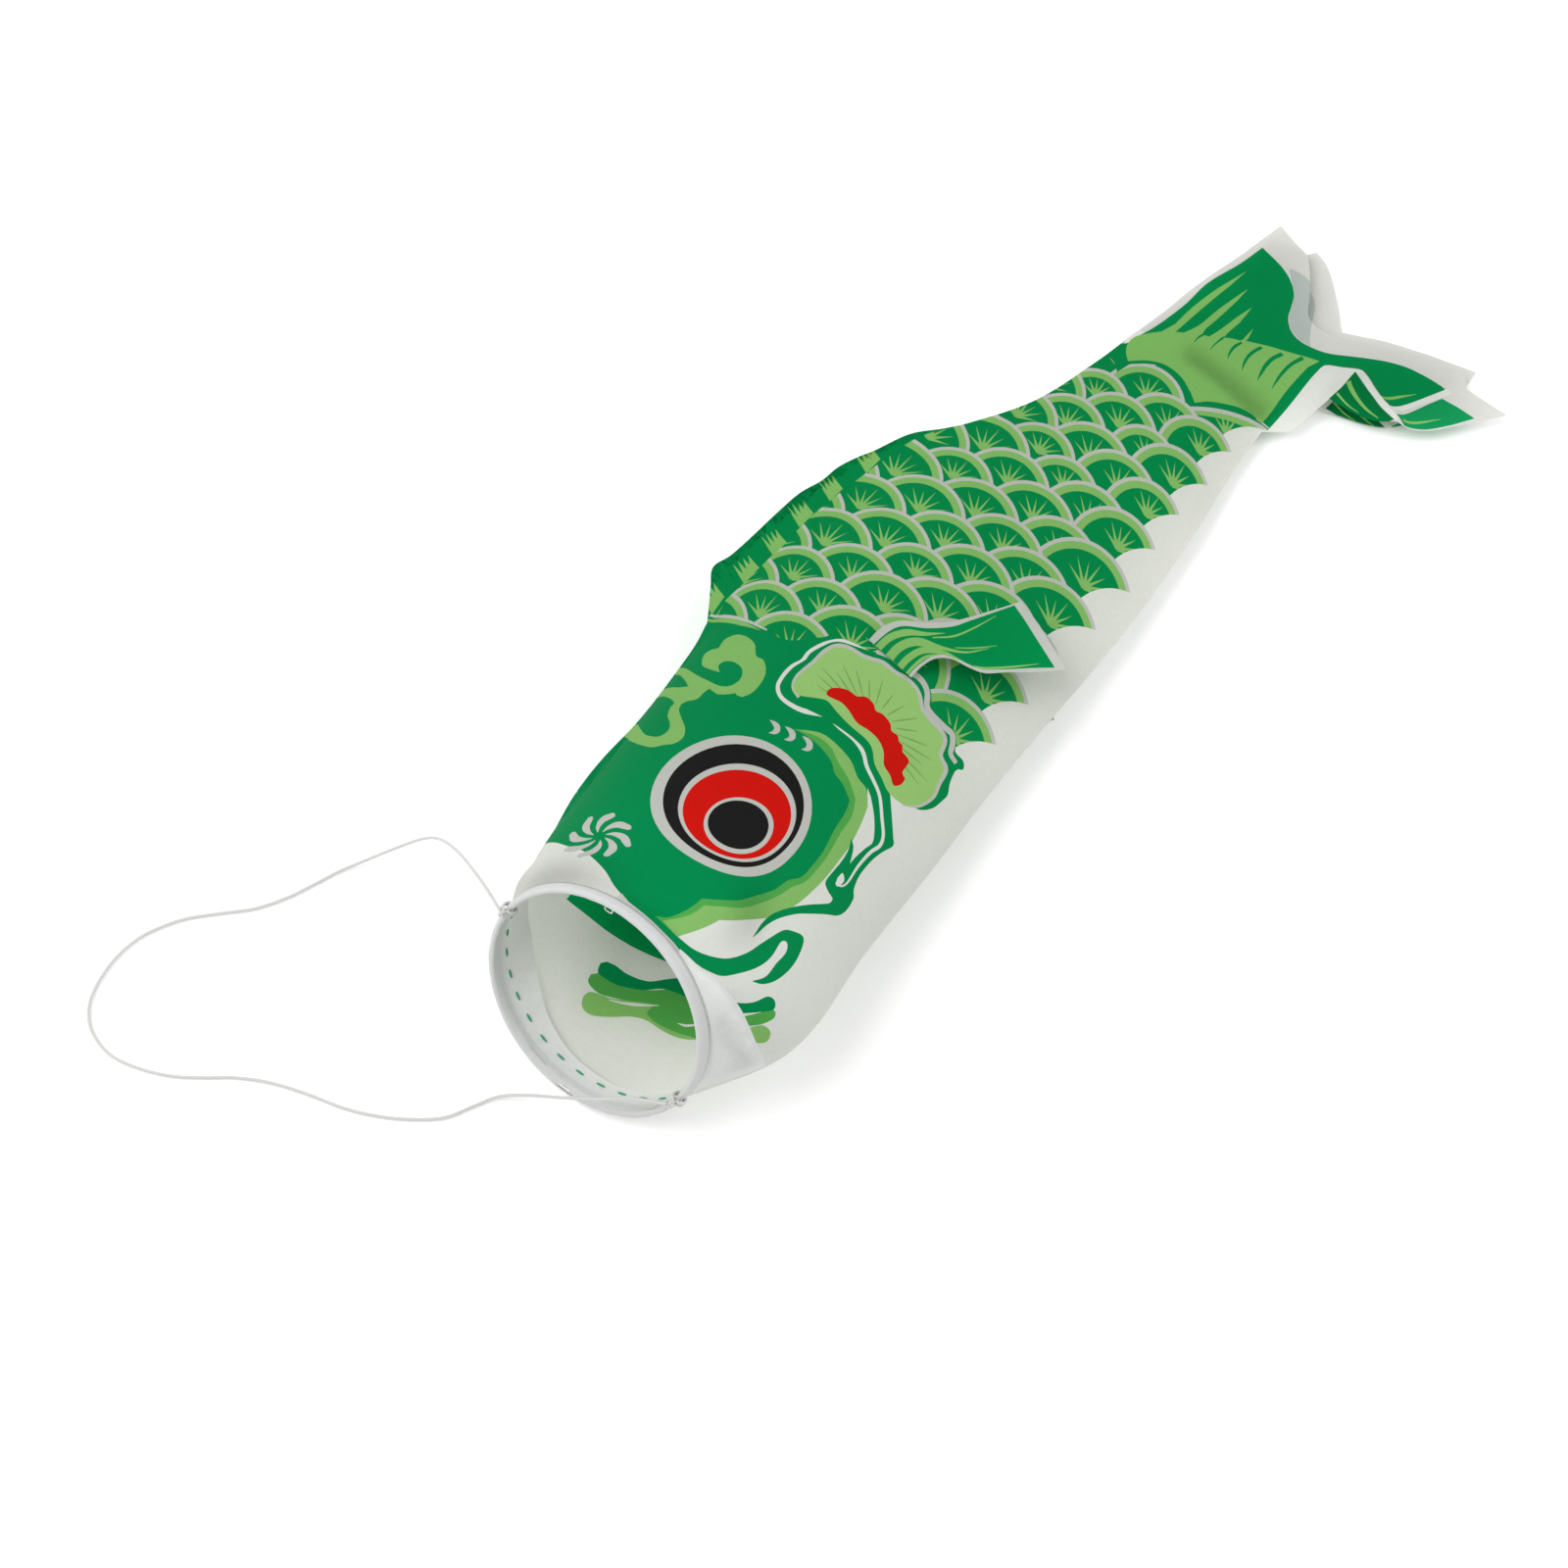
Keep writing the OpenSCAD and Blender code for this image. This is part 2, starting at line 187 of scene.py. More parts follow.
class Unrolled:
    """One side of the fish laid flat: a runs behind the mouth and b round from the belly fold."""

    STEP = 4.0

    def __init__(self, side):
        self.side = side
        self.v = np.linspace(-1, 1, 121)
        self.a = np.arange(0, TRUNK_LENGTH + 1, self.STEP)
        ring = trunk_point(self.a[:, None], self.v[None, :], side)
        length = np.linalg.norm(np.diff(ring, axis=1), axis=2)
        self.arc = np.concatenate([np.zeros((len(self.a), 1)), np.cumsum(length, axis=1)], axis=1)

    def width(self, a):
        """Distance from the belly fold to the back edge."""
        return np.interp(a, self.a, self.arc[:, -1])

    def trunk(self, a, b, inset=0.0):
        """Points in space of flat points on the trunk and on the margin behind the back edge."""
        a = np.clip(a, 0, TRUNK_LENGTH)
        i = np.clip((a / self.STEP).astype(int), 0, len(self.a) - 2)
        t = (a / self.STEP - i)[:, None]
        arcs = self.arc[i] * (1 - t) + self.arc[i + 1] * t
        v = np.array([np.interp(bb, row, self.v) for bb, row in zip(b, arcs)])
        p = trunk_point(a, v, self.side, inset)
        p[:, 1] += np.maximum(b - arcs[:, -1], 0)
        return p

    def eased_trunk(self, a, b):
        """The trunk with a soft bend where it runs out into the dorsal fin."""
        reach = 4.0 * ease((a - 150) / 40) * (1 - ease((a - 330) / 50)) * ease((b - self.width(a) + 30) / 15)
        return sum(
            weight * self.trunk(a, b + reach * step)
            for step, weight in ((-2, 1 / 9), (-1, 2 / 9), (0, 3 / 9), (1, 2 / 9), (2, 1 / 9))
        )

    def tail(self, a, b):
        """Points in space of flat points on the tail."""
        belly, back, height, rise, drop = SECTIONS[-1, 1:6]
        root_width = self.arc[-1, -1]
        r = ease((a - TRUNK_LENGTH) / TAIL_OPENING)
        root_v = np.clip(2 * b / root_width - 1, -1, 1)
        root_z = height + self.side * (rise if self.side > 0 else drop) * (1 - root_v**2)
        y = b * ((back - belly) / root_width * (1 - r) + r) + belly
        if self.side > 0:
            tip_z = LEFT_TAIL_HEIGHT + 0.9 * np.sin(b / 22 + 0.6) + 0.7 * np.sin((a - 460) / 17)
            tip_z = tip_z + tail_fold(a, b)
        else:
            tip_z = RIGHT_TAIL_HEIGHT + 0.7 * np.sin(b / 19) * np.sin((a - 440) / 15)
        z = root_z * (1 - r) + tip_z * r
        if self.side > 0:
            valley = np.exp(-(((a - 457) / 6.5) ** 2)) * ease((a - TRUNK_LENGTH) / 6)
            z = z - 3.5 * valley * ease(b / 10) * ease((62 - b) / 12)
            z = z - 1.0 * ease((a - 500) / 25) * ease((b - 8) / 14)
        return np.stack([MOUTH[0] + a, y, z], -1)

    def place(self, a, b):
        """Points in space of flat points anywhere on this side."""
        a, b = np.asarray(a, float), np.asarray(b, float)
        out = np.empty((len(a), 3))
        on_tail = a > TRUNK_LENGTH
        if on_tail.any():
            out[on_tail] = self.tail(a[on_tail], b[on_tail])
        if (~on_tail).any():
            out[~on_tail] = self.eased_trunk(a[~on_tail], b[~on_tail])
        if self.side > 0:
            out += chin_fold(a, b)[:, None] * UPWARD
        return out


def near_path(a, b, points):
    """Distance of flat points to a bent line."""
    p = np.stack([a, b], -1)
    best = np.full(len(a), 1e9)
    points = np.array(points, float)
    for start, end in zip(points[:-1], points[1:]):
        d = end - start
        t = np.clip(((p - start) @ d) / (d @ d), 0, 1)
        best = np.minimum(best, np.linalg.norm(p - start - t[:, None] * d, axis=1))
    return best


TAIL_RIDGE = [(456, -5), (478, -5), (498, -4), (507, -13), (502, -27), (499, -44)]


def tail_fold(a, b):
    """The roll where the lower lobe's edge turns over."""
    return 4.5 * np.exp(-((near_path(a, b, TAIL_RIDGE) / 4.5) ** 2)) * ease((a - 452) / 25)


# The edge of the fold below the chin, from the lip to the belly, and the direction it is raised in
CHIN_FOLD = [(4.6, 76), (7.8, 65), (12, 57), (14.6, 48), (16.5, 41), (18.4, 31), (21, 20), (24.6, 10),
             (28, 0)]
UPWARD = np.array([-0.3, -0.3, 0.905])


def chin_fold(a, b):
    """Height of the cloth that is pulled forward over itself below the chin."""
    edge = np.interp(b, [p[1] for p in CHIN_FOLD][::-1], [p[0] for p in CHIN_FOLD][::-1])
    height = 8.0 * ease(b / 12) * ease((76 - b) / 30)
    dent = 1.6 * np.exp(-(((a - 0.55 * edge) / 4.5) ** 2) - ((b - 24) / 13) ** 2)
    return height * np.where(a < edge, ease(a / edge) ** 0.8, 1 - ease((a - edge) / 1.0)) - dent


LEFT = Unrolled(1)
RIGHT = Unrolled(-1)

# ---- outlines on the flat cloth


def spline_point(p, i, t, closed=False):
    """The point of a smooth curve through p that lies the share t of the way from point i to the next."""
    n = len(p)
    if closed:
        p0, p1, p2, p3 = p[i - 1], p[i], p[(i + 1) % n], p[(i + 2) % n]
    else:
        p1, p2 = p[i], p[i + 1]
        p0 = p[i - 1] if i else 2 * p1 - p2
        p3 = p[i + 2] if i + 2 < n else 2 * p2 - p1
    return 0.5 * (
        2 * p1 + (p2 - p0) * t + (2 * p0 - 5 * p1 + 4 * p2 - p3) * t * t + (3 * p1 - p0 - 3 * p2 + p3) * t**3
    )


def curve(points, closed=False, spacing=1.6):
    """A smooth line through points."""
    p = np.array(points, float)
    out = []
    for i in range(len(p) if closed else len(p) - 1):
        steps = max(1, int(math.ceil(np.linalg.norm(p[(i + 1) % len(p)] - p[i]) / spacing)))
        out += [spline_point(p, i, k / steps, closed) for k in range(steps)]
    if not closed:
        out.append(p[-1])
    return np.array(out)


def outline(*parts):
    """A closed outline of smooth lines that meet at corners."""
    return np.concatenate([curve(part) for part in parts])


def polygon(*corners):
    """A polygon whose straight sides are stepped finely enough to follow the cloth."""
    return outline(*([corners[k - 1], corners[k]] for k in range(len(corners))))


def ellipse(a, b, half_a, half_b, tilt=0.0, points=64):
    """An ellipse that reaches half_a and half_b from its middle; tilt from -1 to 1 leans it."""
    t = np.arange(points) * 2 * np.pi / points
    along = np.cos(t)
    return np.stack([
        a + half_a * along,
        b + half_b * (tilt * along + math.sqrt(1 - tilt * tilt) * np.sin(t)),
    ], -1)


def unit(v):
    """Vectors brought to a length of 1."""
    return v / np.linalg.norm(v, axis=-1, keepdims=True)


def travelled(line):
    """How far along a line each of its points lies."""
    return np.concatenate([[0], np.cumsum(np.linalg.norm(np.diff(line, axis=0), axis=1))])


def stroke(points, widths, spacing=1.6):
    """A brush stroke along a smooth line; its widths are spread evenly along it."""
    line = curve(points, spacing=spacing)
    along = unit(np.gradient(line, axis=0))
    across = np.stack([-along[:, 1], along[:, 0]], -1)
    length = travelled(line)
    half = np.interp(length / length[-1], np.linspace(0, 1, len(widths)), widths)[:, None] / 2
    half = np.maximum(half, 0.05)
    return np.concatenate([line + across * half, (line - across * half)[::-1]])


# Rows of scales from the back to the belly: the middles of the scales along the fish and the row's end, the
# row's height on the cloth, and how far the row drops towards the tail
SCALE_ROWS = (
    ((162, 190, 217, 244, 271, 299, 327, 355), 168, 0),
    ((153, 180, 207, 233, 262, 290, 320, 346, 372), 142.5, 4),
    ((173, 200, 225, 251, 279, 307, 332, 361, 387, 412), 117, 14),
    ((195, 222, 248, 271, 296, 323, 349, 372, 397, 419, 442), 94, 16.5),
    ((211, 237, 264, 290, 315, 341, 363, 389, 413.5, 438), 71, 14),
    ((227, 254, 282, 309, 334, 360, 385, 406, 430), 49.5, 12),
    ((197, 224, 251, 278, 306, 335, 360, 383, 408, 431), 30, 12),
)

# Plain gaps between the tips of the last row
BELLY_GAPS = ((165, 192, 219, 246, 273, 301, 330, 355, 378, 403, 424, 450), -1, 12)


def row_middles(row):
    """Middles and sizes of a row's scales, or gaps, as (a, b, radius)."""
    along, height, drop = row
    return [(a, height - drop * max(0, (a - 250) / 170) ** 2, r) for a, r in zip(along, np.diff(along))]


def rays(a, b, r):
    """The light rays of a scale."""
    layers = []
    for k in range(7):
        angle = math.radians(-72 + 24 * k)
        direction = np.array([math.cos(angle), math.sin(angle)])
        across = 1.1 * np.array([-direction[1], direction[0]])
        start = np.array([a + 5, b])
        reach = r * (0.56 if k % 2 else 0.48)
        layers.append(("light", np.array([start - across, start + reach * direction, start + across])))
    return layers


def scale(a, b, r):
    """A scale with a white rim, a light band and rays; the scales before it cover its front."""
    return [
        ("white", ellipse(a, b, r, r)),
        ("light", ellipse(a, b, r - 2.0, r - 2.0)),
        ("scale", ellipse(a, b, r - 5.8, r - 5.8)),
    ] + rays(a, b, r)


def scales():
    """Overlapping scales: each covers the ones towards the tail and towards the back."""
    parts = [(a + 0.2 * b, [("belly", ellipse(a, b, 29, 29))]) for a, b, _ in row_middles(BELLY_GAPS)]
    parts += [(a + 0.2 * b, scale(a, b, r)) for row in SCALE_ROWS for a, b, r in row_middles(row)]
    parts.sort(key=lambda part: -part[0])
    last = [
        ("scale", polygon((396, 100), (432, 96), (446, 60), (452, -2), (440, -2), (400, 36))),
        ("light", stroke([(426, 37), (434, 27.4), (441.4, 15.6), (447, 3), (448, -2)], [3.8, 3.8])),
        ("white", stroke([(428, 37), (436.6, 27), (443.9, 15.8), (449.2, 4), (450, -2)], [2.2, 2.2])),
    ] + rays(427, 14, 22)
    return last + [layer for _, layers in parts for layer in layers]


def face():
    """The head's green, the cheek bands, the lips and the whiskers."""
    layers = []
    front = [(38, 196), (36.5, 184), (32.5, 169), (29, 158), (26, 145), (18, 128), (10, 116), (5.6, 106),
             (4.9, 100), (4.6, 87), (4.9, 76)]
    jaw = [(8.2, 81), (16, 79.6), (23, 78.4), (33, 77)]
    cheek = [(33, 77), (39.6, 72), (47, 66.5), (56, 59.6), (66, 53.4), (76, 48.4), (86, 44.6), (98, 41.5),
             (111, 40.3), (121, 40), (133, 41.5), (142, 43.6), (148, 47)]
    neck = [(152, 50), (160, 52), (170, 60), (190, 95), (199, 104), (195, 108), (190, 113), (184, 119),
            (181, 126), (180, 134), (178.5, 150), (176.5, 160), (173.5, 172), (173, 196)]
    layers.append(("face", outline(front, jaw, cheek, neck)))
    layers.append(("white", stroke([(174, 173), (177, 161), (179.3, 149), (180.8, 134)],
                                   [1.2, 2.0, 1.8, 0.8])))
    layers.append(("light", stroke([(171.5, 172), (174.6, 161), (177, 149), (178.8, 137)],
                                   [1.2, 2.6, 2.6, 0.2])))
    upper = [(8.4, 93.4), (13, 90), (23, 88.6), (35, 88.4)]
    upper_cheek = [(35, 88.4), (42, 82), (49.6, 75), (59.6, 68.4), (71, 61), (81, 56.5), (88, 51.5),
                   (96, 49.4), (108, 48.4), (121, 49.6), (131, 50), (138, 51.5)]
    upper_end = [(138, 51.5), (141.5, 58.4), (142.8, 64.6), (146, 68.4), (147.8, 77), (147.2, 86),
                 (145.3, 92)]
    lower_end = [(145.3, 92), (150, 86), (154, 79.6), (155, 72), (154, 62), (150, 54.6), (149, 48.4),
                 (143, 43.4)]
    lower_cheek = [(143, 43.4), (133, 41.2), (121, 39.8), (111, 40.1), (98, 41.3), (86, 44.4), (76, 48.2),
                   (66, 53.2), (56, 59.4), (47, 66.3), (39.6, 71.8), (33, 76.8)]
    lower = [(33, 76.8), (23, 78.2), (16, 79.4), (8.6, 81)]
    layers.append(("middle", outline(upper, upper_cheek, upper_end, lower_end, lower_cheek, lower)))
    inner = [(9.2, 90), (13, 88.6), (23, 86), (33, 85.6)]
    inner_cheek = [(33, 85.6), (40, 79.5), (48, 72), (58, 65.5), (70, 58.4), (80, 53.6), (88, 48.8),
                   (97, 46.6), (108, 45.6), (121, 46.4), (133, 46.8), (141, 50)]
    inner_end = [(141, 50), (146, 58), (148.4, 66), (151.4, 72), (151.2, 80), (147, 89)]
    inner_back = [(147, 89)] + lower_end[1:]
    layers.append(("light", outline(inner, inner_cheek, inner_end, inner_back, lower_cheek, lower)))
    layers.append(("face", outline(
        [(4.9, 77), (8.4, 66.5), (12, 61), (16, 57), (23, 54.4), (33, 51.5), (43, 49.6), (53, 49),
         (56, 46.5), (54.6, 44.9), (51, 44.6), (43, 46), (34.6, 46), (27.8, 48.2)],
        [(27.8, 47.6), (32, 44), (39.6, 41), (49.6, 38.6), (58.4, 37.8), (65.3, 38.4), (66.5, 40.3),
         (64, 44.6), (59.6, 49.6), (52, 53.4), (42, 57), (33, 59), (23, 62), (16, 67), (11, 73.4),
         (8.6, 82)],
    )))
    layers.append(("face", outline(
        [(41, 61.4), (50, 61), (58, 58.8), (66, 54.4), (74, 48.7), (82, 42.2), (88, 36.9), (92, 33.7),
         (95, 33.4), (95.3, 36), (96, 38.6), (98, 40.3), (104, 39.8), (112, 39), (119, 39.3),
         (124.6, 41.2)],
        [(124.6, 41.2), (122.5, 38.2), (118, 36.2), (115, 35.2)],
        [(115, 35.2), (120, 34.7), (127, 33.4), (132, 32.2), (137, 34.6), (143, 39.4), (148, 45)],
        [(152, 52), (158, 66), (168.4, 66)],
        [(168.4, 62), (167, 57), (162, 52), (159.6, 46), (157, 39.6)],
        [(157, 38.6), (149.6, 32), (143, 26), (140, 23.6), (133, 26), (125, 27.8), (115, 28.4), (108, 27),
         (105, 24.8), (98, 24.6), (92, 27), (86, 33.2), (78, 41), (71, 47.4), (61, 54.4), (52, 58.6),
         (42, 61)],
    )))
    layers.append(("belly", stroke(
        [(101.8, 35.3), (103.6, 32.6), (108, 31.3), (118, 31.4), (128, 30.4), (134, 28.7), (139, 30),
         (145, 35.4), (152, 42), (155.4, 48.6), (158, 54.4), (162, 59.4), (163.8, 66), (163.3, 75),
         (163.2, 83), (157, 93), (155, 101), (155.6, 107), (159.6, 111), (167, 111.8), (173, 110.8),
         (178, 108.6), (184, 108.6), (190, 106.6), (195, 104), (200, 99.6), (202.6, 93), (205, 85),
         (207.6, 82.6)],
        [0.6, 1.2, 1.6, 1.8, 1.8, 2.2, 2.6, 2.8, 2.4, 2.0, 2.0, 1.8, 1.6, 1.4],
    )))
    layers.append(("belly", outline(
        [(101.5, 35.8), (101.2, 34.6), (103, 33.4), (106, 33)],
        [(107.2, 33.4), (108.6, 35.6), (105, 36.4)],
    )))
    return layers


def gill():
    """The gill plate: a scalloped fan between pale lines, with the red strip."""
    layers = []
    layers.append(("scale", outline(
        [(160, 108), (170, 110.5), (180, 107.5), (190, 105.5), (198, 101), (203, 91), (206.5, 84),
         (210.5, 80), (212, 70), (213.5, 60), (212, 52), (207, 47), (206, 41), (206.6, 33), (203, 28),
         (199, 25.4), (199, 20), (196, 17.6), (193, 20), (186, 18.8), (181, 16.4), (176, 17), (170, 18.6),
         (164, 23), (161, 29)],
        [(166, 34), (160, 50), (164, 62), (162, 80), (158, 95)],
    )))
    outer = [(207.6, 83), (210.4, 76), (211, 66), (212.6, 60), (211.6, 55), (209, 51.6), (204.6, 48.6),
             (203.4, 44), (203.6, 36), (204, 31.6), (200.6, 28.6), (196.4, 26.6), (195.4, 22)]
    layers.append(("white", stroke(outer, [2.2, 3.0, 3.0, 2.8, 3.0, 3.0, 2.2])))
    fan = [(163.5, 104), (168.5, 105.6), (175, 104.6), (181, 103), (188.5, 102), (195, 99.6),
           (198.5, 94.6), (200, 87), (202, 82), (204.5, 77), (205, 69.6), (206.6, 64.6), (206.6, 58.4),
           (205, 54.6), (201, 49.6), (200, 43), (200, 37), (198.5, 33), (192, 31), (190, 28),
           (188.5, 24.6), (181, 23.4), (175, 22), (168.5, 23.4), (163.5, 26), (158.5, 31.5), (157, 39.6),
           (159.6, 46), (162, 52), (167, 57), (168.4, 62), (167.8, 71), (168.4, 79.6), (169.6, 86),
           (168.4, 89.6), (162, 99.6)]
    middle = np.array([176.0, 64.0])
    layers.append(("white", stroke([(161, 99)] + fan[:26], [1.6, 4.0, 4.0, 4.0, 4.0, 1.6])))
    layers.append(("gill", curve(fan, closed=True)))
    for k in range(17):
        angle = math.radians(-100 + 12.5 * k)
        direction = np.array([math.cos(angle) * 0.62, math.sin(angle)])
        reach = 34 + 3 * math.sin(2.3 * k)
        start = middle + direction * 17
        layers.append(("gill_line", stroke([start, middle + direction * reach], [0.4, 0.9, 0.3])))
    layers.append(("red", curve(
        [(172, 89), (175, 89.6), (178.5, 87), (181.6, 82), (182.3, 77), (185.4, 73.4), (185.4, 68.4),
         (183.5, 66), (184.8, 62), (184, 57), (181.6, 54.6), (182.3, 51), (180.4, 49), (180.4, 46.5),
         (178, 45), (177, 40), (170, 39.6), (169, 37), (165, 37), (161.6, 39.6), (164, 43.4),
         (165.4, 48.4), (170.4, 52), (173, 57), (173, 63), (171.6, 69.6), (173.5, 76), (174, 81),
         (172.4, 86)], closed=True)))
    return layers


def eye():
    """The eye's rings."""
    return [
        ("white", ellipse(91.6, 96.4, 41.1, 38, -0.25)),
        ("black", ellipse(92.2, 95.2, 36.3, 32.8, -0.26)),
        ("white", ellipse(89.9, 91.7, 30, 27.1, -0.33)),
        ("red", ellipse(89, 91.3, 27.5, 24.8, -0.35)),
        ("white", ellipse(84.2, 87.8, 18.2, 15.9, -0.42)),
        ("black", ellipse(84.4, 88, 15.5, 14, -0.42)),
    ]


def ornaments():
    """The pinwheel on the nose, the marks behind the eye and the scrolls on the brow."""
    layers = []
    for k in range(8):
        angle = math.radians(72 - 45 * k)
        petal = []
        for radius, swing in ((3.4, -0.3), (7.5, -0.12), (12, 0.12), (15.5, 0.42)):
            turned = angle - swing
            petal.append((37.6 + radius * 0.92 * math.cos(turned), 146 + radius * math.sin(turned)))
        layers.append(("white", stroke(petal, [0.4, 2.2, 3.6, 4.2, 3.2], spacing=1.2)))
        layers.append(("white", ellipse(*petal[-1], 1.6, 1.6, points=16)))
    for a, b in ((139.4, 99.4), (141.8, 91.6), (143.8, 82.4)):
        layers.append(("white", outline(
            [(a - 4, b + 0.6), (a - 2.6, b - 2.2), (a + 0.2, b - 3.4), (a + 3, b - 1.6), (a + 3.2, b + 1.4),
             (a + 2, b + 4)],
            [(a + 1.4, b + 2.2), (a + 0.4, b + 0.2), (a - 1.4, b - 0.6), (a - 4, b + 0.6)],
        )))
    layers.append(("light", outline(
        [(102, 180), (101, 171), (98, 165), (96, 156), (96, 147), (99.6, 141), (103, 136), (108, 134),
         (113, 136.5), (117, 142), (121, 147), (124.4, 148)],
        [(127, 146), (130, 142), (135, 141), (138, 140)],
        [(137.4, 134), (139.6, 130), (143, 126)],
        [(140, 121.6), (136, 121.5), (133, 126), (133, 131)],
        [(135.2, 130.6), (136, 127), (139.6, 124.6), (142, 126.2)],
        [(143, 122), (147, 119.6), (153, 118.6), (161, 120), (166, 125), (166, 130), (171, 135),
         (172, 142), (170, 148), (165, 152), (160, 152), (158, 155), (154.6, 157.5), (151, 156.5),
         (147.8, 153), (147.8, 146), (148.6, 141)],
        [(149, 142), (151.5, 144.6), (155, 143), (157, 138), (156, 132), (151, 129), (145, 131),
         (142, 136), (141.6, 144), (142, 152), (144, 164), (146, 180)],
        [(141, 180), (140, 166), (137.6, 158), (134.6, 152)],
        [(132.4, 158), (131.6, 168), (132, 180)],
        [(126.6, 180), (126.2, 166), (125.2, 157), (123.4, 152.4)],
        [(121, 153), (116, 151), (112, 146), (108, 144), (103, 147), (102, 155), (105, 162), (109, 170),
         (110.6, 180)],
    )))
    return layers


def dorsal_fin():
    """The dorsal fin's green and its light blocks."""
    layers = []
    layers.append(("scale", outline(
        [(173, 200), (173.4, 172.4)],
        [(174, 172), (190, 167), (206, 164), (230, 162), (256, 160), (280, 156), (300, 152), (322, 146),
         (340, 134)],
        [(346, 132), (346, 200)],
    )))
    for start, end, b in ((175, 186, 171), (197, 209, 164.6), (218.5, 229, 162), (240, 251, 161.5),
                          (262, 272, 159), (287, 298.5, 154.6)):
        points = [(start, b)]
        for k in range(4):
            points.append((start + (end - start) * (k + 0.35) / 4 + 4, b + 13 - 1.2 * k))
            points.append((start + (end - start) * (k + 1) / 4 + 1.4, b + 5))
        points[-1] = (end, b - 0.6)
        layers.append(("light", np.array(points)))
    return layers


def tail_margin():
    """Painted shade: a duller white over the cloth behind the fish's end."""
    return [("margin", polygon((452, -120), (452, 100), (620, 100), (620, -120)))]


